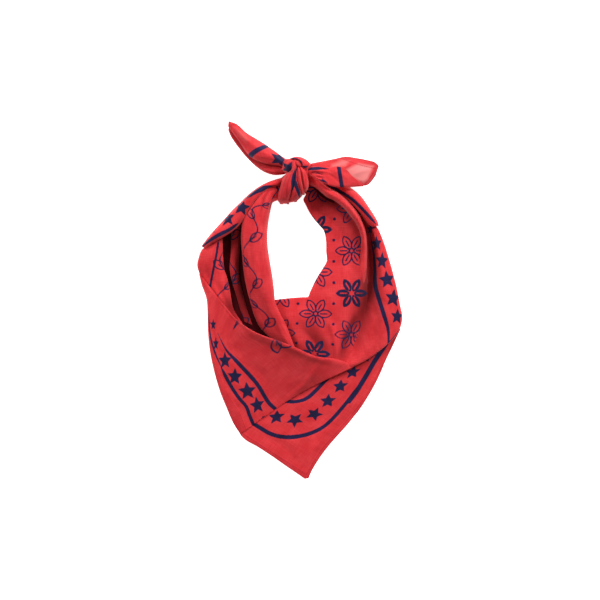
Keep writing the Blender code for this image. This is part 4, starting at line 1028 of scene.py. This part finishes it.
lay_cloth(
    "neck_right_high_roll",
    ["neck_right_inner"],
    NECK_RIGHT_HIGH,
    [
        Pin(310, 180, 262, 372), Pin(335, 196, 250, 345), Pin(350, 208, 240, 325),
        Pin(364, 235, 226, 300), Pin(362, 275, 226, 262),
    ],
    border=False,
    motif=False,
    left_roll=1.8,
    right_roll=2.6,
    # Painted shade along the roll's flanks.
    shades=[
        Crease(
            0.4, 2.4, 1.6,
            [(312, 184), (326, 196.4), (343, 208), (356, 224), (361, 246), (358, 272), (356, 286)],
        ),
        Crease(0.5, 1.2, 1.6, [(330, 189), (348, 202), (361, 219), (366.4, 236), (367, 262)]),
    ],
    creases=[
        Crease(-0.7, 1.4, 1.4, [(318, 185), (330, 192), (342, 201), (352, 213)]),
        Crease(-0.5, 1, 1.4, [(362, 236), (363, 248), (362, 262)]),
    ],
    seed=75,
)

NECK_RIGHT_OUTER = [
    (355, 215.5, 367.4, 214.4, 1.8, 2.2, 4, 6.5, 6, 0, 1.6),
    (361, 227.2, 377.6, 227.2, 1.8, 2.2, 4.6, 9.4, 8, 0, TABLE_FOOT),
    (363, 240.5, 383.6, 240.8, 1.8, 2, 5, 11.2, 9, 0, TABLE_FOOT),
    (363, 253.8, 387.9, 254, 1.6, 1.8, 5, 12.4, 10, 0, TABLE_FOOT),
    (363, 268, 392, 268, 1.6, 2.2, 6.6, 13, 10.4, 0, TABLE_FOOT),
    (364, 284.2, 396.4, 285, 2, 3.4, 8.4, 12.8, 10.6, 0, TABLE_FOOT),
    (363, 300.4, 400, 303, 2.4, 4.2, 8.4, 12.6, 10.8, 0, TABLE_FOOT),
    (360.4, 316.2, 402.5, 319.5, 3.2, 5.2, 8.6, 12.4, 11, 0, 2),
    (356, 332.2, 396.8, 335, 4.2, 6.2, 8.8, 11.6, 10.4, 0, 4.6),
    (351, 347.4, 383.9, 347.6, 5.2, 7.4, 9.4, 11.2, 10.6, 0, 5.2),
    (346.5, 358.4, 368, 359.4, 7, 8.6, 9.8, 10.8, 10.2, 0, 5.2),
    (343.5, 364.4, 356.6, 365.4, 8.2, 9.2, 9.8, 10, 9.4, 0, 5.2),
    (338, 369.4, 344, 371.8, 6.4, 6.8, 7, 7, 6.6, 0, 5.2),
]
lay_cloth(
    "neck_right_outer_strip",
    ["neck_right_outer"],
    NECK_RIGHT_OUTER,
    [
        Pin(398.5, 318.2, 36.5, 200.5), Pin(393.2, 299.3, 36.5, 220.5), Pin(387.8, 280.9, 36.5, 240.5),
        Pin(383.3, 261.4, 36.5, 260.5), Pin(377.4, 243.5, 36.5, 280.5), Pin(371, 228, 36.5, 300.5),
        Pin(371, 240, 55, 285), Pin(374, 255, 55, 269), Pin(375, 270, 55, 253), Pin(375, 285, 55, 238),
        Pin(378, 297, 55, 225), Pin(384, 315, 55, 206), Pin(388, 335, 55, 186),
    ],
    stops=(0, 0.21, 0.42, 0.64, 1),
    right_roll=3,
    border=False,
    motif=False,
    lines=[
        Line(
            4.2, 0.4,
            [(370, 222), (371.4, 240), (374, 255), (375, 270), (375.4, 285), (378.4, 297), (384, 315),
             (388, 329), (388.6, 340), (388, 352), (387, 366)],
        ),
        Line(1.3, 0.2, [(386.6, 345.4), (392, 339.6), (397, 333.6), (402, 327)]),
    ],
    stars=[
        Star(397.2, 316.6, 84, 1, 0.8),
        Star(393.2, 298.2, 82, 1.1, 0.92),
        Star(387, 279.6, 98, 1.1, 0.9),
        Star(382, 260.8, 86, 1.06, 0.74),
        Star(376.6, 243.6, 94, 0.96, 0.7),
        Star(370.4, 229, 90, 0.7, 0.6),
    ],
    # Painted shade in the valley beside the high roll and on the strip's inner slope.
    shades=[
        Crease(0.9, 9, 4.5, [(367, 214), (369, 236), (370, 252), (370, 270), (369, 288), (367, 304)]),
        Crease(0.7, 9, 6, [(369, 280), (368, 298), (364, 314), (358, 330), (350, 350)]),
        Crease(0.16, 14, 14, [(372, 300), (376, 322), (368, 342), (356, 360)]),
    ],
    creases=[
        Crease(-0.9, 3, 3, [(372, 300), (375, 318), (372, 336), (362, 350)]),
        Crease(0.8, 3, 3, [(378, 304), (382, 322), (380, 340)]),
    ],
    seed=81,
)

NECK_RIGHT_EDGE = [
    (309, 179.6, 316, 168, 14, 14.6, 15, 14, 12, 6.4, 4),
    (318.4, 183, 327, 173, 14, 15, 15.5, 14, 10, 6.4, TABLE_FOOT),
    (325.4, 186, 336.5, 177.8, 12, 15, 16, 14.6, 10, 6.4, TABLE_FOOT),
    (337, 192.2, 347.6, 185, 11, 15, 16.5, 15, 10, 6.4, TABLE_FOOT),
    (349.4, 201.6, 360.6, 195.4, 11, 15.4, 17, 15.6, 10.5, 6.4, TABLE_FOOT),
    (360, 212.8, 370, 208.4, 11.5, 15, 17, 15.6, 10.5, 6.6, TABLE_FOOT),
    (367, 222.6, 377, 219.6, 12, 14.5, 16, 15, 11, 7, TABLE_FOOT),
    (372, 226.8, 379, 225.8, 12, 13.6, 14.4, 13.6, 12, 10.4, 8),
]
lay_cloth(
    "neck_right_turned_edge",
    ["neck_right_edge"],
    NECK_RIGHT_EDGE,
    [
        Pin(315, 180, 18, 372), Pin(330, 187, 18, 355), Pin(345, 194, 18, 338), Pin(358, 205, 18, 320),
        Pin(371, 219, 18, 300), Pin(376, 224.5, 18, 292), Pin(361, 196, 8, 326), Pin(345, 186, 9, 345),
        Pin(352, 203, 24, 326),
    ],
    border=False,
    motif=False,
    lines=[
        Line(3.1, 0.12, [(311, 178.4), (322, 182.6), (337, 189.8), (352, 199.4), (365, 212), (377, 225.6)]),
    ],
    right_roll=2.8,
    seed=91,
)

# ---------------------------------------------------------------- the two tails
# The square's far corners, drawn through the knot. The left one is rolled in two long folds. The right
# one opens out: its tip is a single layer, painted paler as if the table shone through it, with a doubled
# flap over it.


def within(x, y, corners, softness):
    """How far inside a convex outline a place is, from 0 at its edge to 1 softness px in."""
    depth = np.full(x.shape, np.inf)
    for (x0, y0), (x1, y1) in zip(corners, corners[1:] + corners[:1]):
        run = math.hypot(x1 - x0, y1 - y0)
        depth = np.minimum(depth, ((x1 - x0) * (y - y0) - (y1 - y0) * (x - x0)) / run)
    return np.clip(depth / softness, 0, 1)


TAIL_LEFT_UPPER = [
    (228.4, 120.6, 227.9, 126, 4.6, 5, 5.2, 5, 4.6, 3, 3),
    (236.9, 123.8, 232.8, 133, 6, 8, 9.2, 8.6, 6.4, 3.2, 3.4),
    (245.5, 131.6, 239.4, 142, 7, 10.5, 12.6, 11.4, 7.6, 3.4, 4.4),
    (253.5, 136.8, 245.4, 151.4, 8.5, 13, 15.4, 14.4, 9.4, 4, 6),
    (262, 141.9, 252.4, 158.4, 10, 15.5, 18.2, 17.6, 12, 5, 8),
    (270, 147.4, 264, 163.4, 12, 17.5, 20.2, 19.4, 15, 6, 10.4),
    (278, 153.2, 274.6, 165.2, 14, 18.5, 21, 20, 17, 8, 12.4),
    (285, 158.2, 283.4, 167.2, 15, 19, 21.5, 20.5, 18, 10, 13.4),
    (291, 160.4, 289, 170, 15.6, 19.4, 21.4, 20.2, 17.6, 11, 13),
]
lay_cloth(
    "tail_left_upper_fold",
    ["tail_left_upper"],
    TAIL_LEFT_UPPER,
    [
        Pin(228.4, 121.5, 0, 0), Pin(259, 149.5, 31.6, 31.6), Pin(268, 145, 39.4, 25.4),
        Pin(251, 155, 25.4, 39.4), Pin(279.3, 159.3, 46.2, 43.3), Pin(276, 166.2, 40.5, 49),
        Pin(282.6, 152.4, 51.9, 37.6),
    ],
    left_roll=2.2,
    right_roll=2,
    creases=[
        Crease(-1.3, 3, 2, [(233, 130), (241, 140), (248, 148), (253, 153)]),
        Crease(0.8, 1.8, 2.4, [(238, 130), (247, 139), (256, 146), (266, 153)]),
        Crease(-1, 1.6, 2.2, [(256, 158), (263, 159.5), (271, 161), (279, 163)]),
        Crease(-0.9, 1.4, 1.4, [(272, 150), (278, 156), (284, 162)]),
    ],
    # Painted light: the tip's single layer is painted paler, as if lit through.
    sheer=lambda x, y: 0.3 * within(x, y, [(230, 123), (240, 128), (252, 139), (246, 145), (236, 135)], 5),
    # Painted shade, faint, over the fold's top.
    shades=[Crease(0.14, 16, 16, [(226, 118), (246, 142), (268, 158), (296, 166)])],
    seed=101,
    pitch=0.6,
)

TAIL_LEFT_UNDER = [
    (229.2, 123.5, 228, 129.6, 1.8, 1.9, 2, 1.9, 1.8, TABLE_FOOT, TABLE_FOOT),
    (234, 130, 231.6, 137.6, 2, 2.4, 3, 3.4, 3, TABLE_FOOT, TABLE_FOOT),
    (241.5, 138.5, 239.2, 148.2, 2.6, 3.4, 4.6, 5.6, 4.6, TABLE_FOOT, TABLE_FOOT),
    (249, 148.5, 247, 157.6, 4, 5, 6.4, 7.6, 6, 1, 1),
    (257, 155.5, 255, 165.4, 5.6, 6.8, 8.6, 9.8, 8, 2, 2),
    (266, 159.2, 263.8, 171.6, 7.6, 9, 10.8, 12, 10, 4, 4),
    (275, 161, 273.6, 174.8, 9.2, 10.6, 12.4, 13.4, 11, 6, 6),
    (282.5, 163.2, 282, 174.6, 10.2, 11.4, 13, 13.8, 11.4, 7, 7),
    (288, 165.4, 287.4, 173.2, 9.6, 10.6, 11.6, 12, 10.4, 7, 7),
]
lay_cloth(
    "tail_left_under_fold",
    ["tail_left_under"],
    TAIL_LEFT_UNDER,
    [Pin(229, 122.5, 0, 8), Pin(227.8, 129, 0, 0), Pin(239.4, 148.6, 24, 0), Pin(250, 156, 38, 7)],
    border=False,
    motif=False,
    right_roll=2.4,
    creases=[
        Crease(-1.4, 2.4, 1.6, [(250, 158), (259, 164.5), (268, 167.5), (279, 168.5)]),
        Crease(0.9, 1.8, 1.8, [(252, 161.5), (260, 168), (270, 171.4), (280, 171.6)]),
    ],
    lines=[Line(1.4, 0.5, [(264.6, 162.6), (268, 163.4), (271.4, 164.2)])],
    # Painted shade over the under fold, which faces away from the lamps.
    shades=[Crease(0.4, 12, 12, [(228, 124), (244, 150), (262, 166), (290, 172)])],
    seed=111,
    pitch=0.6,
)

TAIL_RIGHT = [
    (304.5, 163.4, 303.5, 171, 20, 21.6, 22.2, 21.6, 20, 17, 17),
    (309.5, 163.8, 308, 173, 21, 23.2, 24, 23.6, 22, 17.5, 18.5),
    (317.5, 162.4, 315, 177, 23, 27, 28, 27.6, 28.4, 17.5, 26),
    (326, 160.8, 322.5, 182, 23, 27.5, 28.8, 29, 30, 17.5, 27),
    (335.5, 158.8, 332, 186.4, 21.5, 26.5, 28.6, 29.2, 30.2, 17, 27.4),
    (345.5, 156.8, 342.5, 187.2, 19, 24, 26, 26.2, 25, 16, 21.6),
    (356, 158, 352.5, 186.9, 16, 20.5, 22.6, 22.2, 19.2, 14, 16.8),
    (366, 159.6, 362, 185.9, 12.5, 16, 18, 18, 14.5, 11, 12.6),
    (374.5, 161.7, 369, 184, 9, 11, 12, 11.5, 8.5, 7, 7),
    (379, 165.4, 375.6, 176, 5.5, 6, 6.5, 6.2, 5.5, 4, 4),
]
# Painted light: where the single layer shows, its red is painted paler, as if the table lit it through.
SHEER_PATCH = [(328, 170.4), (330.5, 164), (342, 158.4), (352.5, 160), (346, 168), (338, 169.4)]
SHEER_TIP = [(341, 170.8), (358, 162.2), (375.6, 164.8), (368.6, 180.8), (363.4, 184.4), (350, 178.8)]
lay_cloth(
    "tail_right_single_layer",
    ["tail_right"],
    TAIL_RIGHT,
    [Pin(379.1, 166, 0, 2), Pin(368.5, 185, 21, 0), Pin(343.5, 157.2, 0, 42), Pin(330, 178, 44, 34)],
    border=False,
    motif=False,
    left_roll=2.6,
    right_roll=2.2,
    creases=[
        Crease(0.9, 1.6, 3, [(330, 167.5), (343, 167.6), (353, 164.6), (367, 161.6)]),
        Crease(-0.8, 2.4, 1.6, [(312, 166.2), (326, 164.6), (338, 161.6)]),
        Crease(0.7, 2, 2.4, [(352, 176.4), (362, 171.4), (374, 168.2)]),
    ],
    sheer=lambda x, y: np.maximum(0.7 * within(x, y, SHEER_PATCH, 4), 0.95 * within(x, y, SHEER_TIP, 3.2)),
    # The first two mark the darker doubled hems along the tip's edges; the third is painted shade over the
    # tail's top.
    shades=[
        Crease(0.45, 1.4, 1.4, [(378.6, 163), (378.4, 169), (373, 179), (367.4, 186.4)]),
        Crease(0.35, 1.2, 1.2, [(336, 158.4), (345, 157), (357, 158.4), (368, 160.4), (378.6, 165)]),
        Crease(0.22, 14, 14, [(304, 168), (320, 164), (336, 160), (350, 158)]),
    ],
    seed=121,
    pitch=0.6,
)

TAIL_RIGHT_FLAP = [
    (304.5, 167, 304.2, 172, 21.6, 22.6, 23, 22.6, 21, 19, 18),
    (310.5, 166.8, 308.4, 174.4, 24.6, 26, 26.4, 25.6, 24, 23, 19),
    (318.5, 167.2, 314.8, 178.4, 28.4, 29.6, 29.8, 29.6, 29.8, 27.2, 26),
    (328.5, 168, 322.2, 183, 29.6, 30.8, 31.2, 31.4, 31.6, 28.4, 27.4),
    (337.8, 167.4, 332, 187.1, 29.8, 30.8, 31.4, 31.6, 31.8, 28.6, 28),
    (345.4, 169.6, 341.6, 187.8, 27.9, 28.4, 28.6, 28.2, 27, 26.6, 23.4),
    (351.2, 175.6, 349, 187.7, 24.6, 25, 25, 24.5, 23, 23.4, 20.2),
    (357.8, 181, 356, 187, 20.4, 20.4, 20.2, 19.8, 18.4, 19.6, 16.6),
    (364, 185, 362.8, 186.4, 15.6, 15.6, 15.5, 15.4, 15.2, 14.6, 14),
]
lay_cloth(
    "tail_right_doubled_flap",
    ["tail_right"],
    TAIL_RIGHT_FLAP,
    [Pin(338, 168, 30, 30), Pin(341, 187, 30, 50), Pin(310, 168, 59, 30), Pin(314, 178, 59, 40)],
    border=False,
    motif=False,
    left_roll=1,
    right_roll=2,
    creases=[
        Crease(-2.4, 1.3, 1, [(307, 176), (312, 173.8), (317, 173.6), (323, 175.8)]),
        Crease(-1.8, 1, 1.3, [(313, 177.4), (318, 178), (323, 178.6)]),
        Crease(1.2, 1.3, 1.6, [(308, 171.6), (316, 171.2), (326, 172.6), (333, 175.6)]),
        Crease(-1, 2.2, 1.6, [(326, 172), (333, 178), (339, 184)]),
        Crease(0.8, 2.4, 2.4, [(330, 170), (340, 174), (348, 180)]),
    ],
    lines=[
        Line(3.9, 0, [(338.4, 167), (340, 177), (342, 189)]),
        Line(3.4, 0.4, [(303, 171.4), (311, 169.6), (320, 169), (329, 169.8)]),
        Line(1.5, 0.4, [(308.6, 176), (312.4, 173.6), (317.6, 173.8), (322.4, 176)]),
        Line(2.6, 0.6, [(318, 180.4), (323.6, 181.6), (328, 185)]),
        Line(2.4, 0.6, [(322.4, 178.6), (323.4, 184.4)]),
    ],
    seed=125,
    pitch=0.6,
)

# ---------------------------------------------------------------- the knot
# One turn of the left arm round the right, drawn tight. It fans out from a pinch in four gathers that
# wrap down into the neck opening, with a crescent round its top and a corner of the arm at its left.
KnotFold = namedtuple(
    "KnotFold",
    "name node sections rolls end_roll end_foot lines stars creases",
    defaults=(0, (0, 0), [], [], []),
)
KNOT_FOLDS = [
    KnotFold(
        "knot_core",
        "knot_wrap",
        [
            (284, 166, 286, 176, 17, 19, 20, 19, 17, 12, 12),
            (289, 160.6, 290, 178, 22, 25, 26, 25.6, 24, 14, 16),
            (295, 159, 296, 180, 24, 27.6, 29, 29, 27, 14, 18),
            (301, 160, 301.5, 179, 25, 28, 29.6, 29, 26, 14, 18),
            (306, 162.4, 306.5, 178, 24, 26, 27, 26, 23, 14, 16),
            (311, 165.6, 310.5, 177, 21, 22.6, 23.4, 22.6, 20, 14, 16),
        ],
        (2, 2),
    ),
    KnotFold(
        "knot_left_corner",
        "knot_left",
        [
            (284.6, 159.6, 281.6, 169.6, 20.6, 22.6, 23.4, 22.2, 19, 15, 14),
            (287.4, 159.2, 284.4, 172.4, 24, 27.4, 28.6, 27, 22, 17, 15),
            (290.8, 159.2, 288.4, 173.8, 26, 30.4, 31.8, 30.4, 27, 19, 17),
            (294.6, 160, 292.6, 171, 27, 31.4, 32.4, 31.4, 29, 22, 24),
            (298, 162, 295.6, 167.4, 28, 30, 30.4, 30, 29, 26, 27),
        ],
        (1.6, 2),
        stars=[Star(288.4, 169.2, 205, 0.94, 1)],
        creases=[
            Crease(-1, 1.2, 1.2, [(287, 160.6), (285.6, 165), (284.6, 170)]),
            Crease(0.8, 1.2, 1.2, [(290, 160.6), (288, 165), (286.6, 171)]),
        ],
    ),
    KnotFold(
        "knot_inner_loop",
        "knot_top",
        [
            (293.4, 160.4, 294.6, 165, 29, 31, 32, 32, 30, 27, 27),
            (296.4, 160.2, 297, 166.6, 29.6, 32.4, 33.6, 33.4, 31, 27, 27),
            (299.4, 161.4, 299, 168.2, 29.6, 32.2, 33.2, 32.8, 30.4, 27, 26),
            (301.8, 163.8, 300.8, 169, 29, 30.6, 31, 30.4, 28.6, 26, 26),
        ],
        (1.2, 1.6),
    ),
    KnotFold(
        "knot_top_crescent",
        "knot_top",
        [
            (288.4, 159.6, 290, 160.8, 20, 23, 24, 24, 23, 15, 21),
            (291.8, 157.8, 293.2, 160.3, 22, 27, 29, 29.4, 28.4, 12, 26),
            (296, 156.7, 296.8, 160.9, 23, 29.5, 32, 32.6, 31.6, 10, 29),
            (299.8, 157, 299.4, 162.2, 24, 30.5, 33, 33.6, 32.4, 10, 30),
            (303, 158, 301.2, 164.6, 24.6, 31, 33, 33.4, 32, 12, 29),
            (306, 159.8, 302.2, 167.2, 25.4, 30.6, 32.2, 32.4, 31, 16, 28),
            (308.8, 162.2, 304.2, 169.4, 26, 29.6, 31, 31, 29.4, 20, 26),
            (311.2, 165.2, 306.6, 170.8, 25.6, 27.6, 28.6, 28.4, 27, 22, 25),
        ],
        (2, 1),
        lines=[
            Line(1.5, 0.2, [(289.6, 160.2), (293.4, 159.3), (297, 160), (299.6, 161.6)]),
            Line(2.1, 0.3, [(297.4, 160.2), (300.2, 162.2), (301.6, 165), (302, 168.4)]),
            Line(2.2, 0.3, [(300.8, 167.6), (304, 167.8), (308.4, 167)]),
        ],
        creases=[Crease(-0.9, 1.2, 1, [(298, 158.6), (303, 160.4), (307, 164.4)])],
    ),
    KnotFold(
        "knot_wrap_right_gather",
        "knot_wrap",
        [
            (298.6, 167.4, 302.6, 168, 28, 29.6, 30.4, 30, 28, 26, 25),
            (299.8, 171.6, 305.6, 171.8, 29, 32.6, 34, 33, 29, 26, 23),
            (300.6, 177, 307.6, 177.4, 29, 33.6, 35.4, 34, 29, 25, 22),
            (301.4, 183, 308.7, 183, 28, 33.4, 35.2, 33.8, 28, 23, 21),
            (302, 188.4, 308.3, 188.4, 26, 31, 32.8, 31.2, 26, 20, 18),
            (303, 193.6, 306.2, 192, 20, 23, 24, 23, 20, 14, 10),
        ],
        (1.6, 2.4),
        end_roll=2,
        end_foot=(4, 4),
        creases=[Crease(-0.8, 1, 1, [(303.4, 170), (304.4, 176), (305.2, 183), (304.8, 189)])],
    ),
    KnotFold(
        "knot_wrap_middle_gather",
        "knot_wrap",
        [
            (295.2, 168, 298.4, 168.6, 29, 30.6, 31.4, 31, 29, 27, 27),
            (293.6, 174, 299.4, 174.4, 30, 33.4, 34.6, 34, 31, 27, 27),
            (292.4, 180, 300.2, 180.4, 30, 34.4, 35.6, 35, 31.6, 26, 26),
            (291.2, 186, 301.2, 186.2, 29, 34, 35.6, 35, 31, 24, 24),
            (289.8, 192, 302.2, 191.8, 26.6, 32, 33.8, 33, 28.6, 20, 20),
            (288.4, 198, 301.6, 196.8, 22.6, 27.6, 29.4, 28.6, 23, 14, 10),
            (286.6, 203.2, 296.2, 201.4, 17, 20, 21.4, 20.4, 16.6, 6, 4),
        ],
        (1.6, 2),
        end_roll=1.6,
        end_foot=(2, 2),
        creases=[
            Crease(-0.9, 1.4, 1, [(296, 176), (297.4, 183), (299.8, 191)]),
            Crease(0.9, 1.4, 1.6, [(293.4, 188), (293.6, 194), (292.4, 201)]),
        ],
    ),
    KnotFold(
        "knot_wrap_ridge_gather",
        "knot_wrap",
        [
            (296.4, 167.8, 299.6, 168.2, 29.6, 31.4, 32.4, 31.6, 29.6, 27, 27),
            (296.9, 172.6, 301, 173, 31, 35, 36.4, 35, 31, 28, 28),
            (297.1, 178.6, 302, 178.8, 31.6, 36, 37.4, 35.8, 31, 28, 27),
            (298.2, 184.6, 303, 184.4, 31, 35.6, 37, 35.4, 30.6, 26, 26),
            (299.8, 190.2, 304.2, 189.6, 28.6, 32.6, 33.8, 32.2, 28, 22, 22),
            (301.2, 195.4, 304.6, 194.4, 22, 25, 26, 25, 21.6, 15, 15),
        ],
        (1.4, 1.6),
        end_roll=1.6,
        end_foot=(4, 4),
    ),
    KnotFold(
        "knot_wrap_left_gather",
        "knot_wrap",
        [
            (292.2, 161.6, 296, 162.4, 29, 31.6, 32.6, 31.8, 29.6, 26, 27),
            (291.6, 166.4, 296.9, 167, 29.6, 34, 35.6, 34.6, 30.4, 25, 27.4),
            (290.2, 171.2, 296, 172, 29.4, 34.6, 36.4, 35.6, 31.4, 24, 28),
            (285.4, 174.8, 295.4, 176.8, 27, 34, 36.6, 36, 31.6, 21, 28),
            (282.7, 179, 295.2, 181.6, 25, 33.6, 36.6, 36.4, 31.6, 19, 27),
            (280.8, 184.6, 294.2, 186.6, 24, 33, 36.2, 36, 31, 19, 26),
            (279.3, 190, 292.8, 191.4, 23, 31.6, 34.6, 34.4, 29.4, 18, 23),
            (278, 195.6, 291.2, 196.2, 22, 29, 31.6, 31, 26, 16, 17),
            (277.4, 200.2, 290, 200.4, 18, 24, 26.4, 25.4, 20, 11, 9),
            (280.6, 203.6, 288.6, 203.8, 13, 15.6, 16.6, 16, 13.6, 3, 3),
        ],
        (2.6, 1.6),
        end_roll=2,
        end_foot=(2, 2),
        lines=[Line(2, 0.3, [(283.4, 205), (287.4, 204.4), (291.6, 202.4)])],
        creases=[
            Crease(-1.3, 1.2, 1.8, [(292.6, 168), (291.4, 174), (289.6, 180), (288.8, 187)]),
            Crease(0.8, 1.4, 1.4, [(288.4, 176.5), (285.6, 184), (283.6, 193), (283, 200)]),
            Crease(-0.8, 1.2, 1.6, [(287.4, 184), (286.4, 192), (286.6, 200)]),
        ],
    ),
]
KNOT_STRIPES = [
    Line(4.4, 0.35, [(297.2, 167.4), (294.8, 174.4), (293.8, 180), (292.9, 187), (290.4, 195.4)]),
    Line(3.5, 0.1, [(294.4, 181), (296.2, 187), (298.4, 192.4), (301.2, 198.6)]),
]
# Painted shade along the creases between the knot's gathers.
KNOT_SHADES = [
    Crease(0.5, 0.6, 0.6, [(299.8, 171), (301.4, 178), (302.6, 185), (303.6, 191)]),
    Crease(0.5, 0.5, 0.5, [(297, 172), (297.4, 180), (299.4, 188), (301.6, 195)]),
    Crease(0.45, 0.5, 0.8, [(291.6, 170.6), (287.6, 176), (284.6, 184), (282.4, 193), (282, 201)]),
    Crease(0.4, 0.6, 0.6, [(292, 174), (289, 181), (287, 190), (286.6, 200)]),
    Crease(0.35, 0.5, 0.6, [(304, 172), (305.4, 179), (305.8, 186)]),
    Crease(0.5, 0.8, 0.8, [(286, 173.6), (290.6, 173), (294, 170)]),
]
# The few marks in the knot are placed one by one, so its pins only give the weave its scale.
KNOT_PINS = [Pin(293, 166, 0, 300), Pin(293, 200, 0, 335), Pin(313, 166, 21, 300), Pin(313, 200, 21, 335)]
for number, fold in enumerate(KNOT_FOLDS):
    lay_cloth(
        fold.name,
        [fold.node],
        fold.sections,
        KNOT_PINS,
        border=False,
        motif=False,
        left_roll=fold.rolls[0],
        right_roll=fold.rolls[1],
        end_roll=fold.end_roll,
        end_foot=fold.end_foot,
        creases=fold.creases,
        lines=fold.lines + KNOT_STRIPES * (fold.node == "knot_wrap"),
        stars=fold.stars,
        shades=KNOT_SHADES * (fold.node == "knot_wrap"),
        waves=0.12,
        seed=131 + number,
        pitch=0.4,
    )
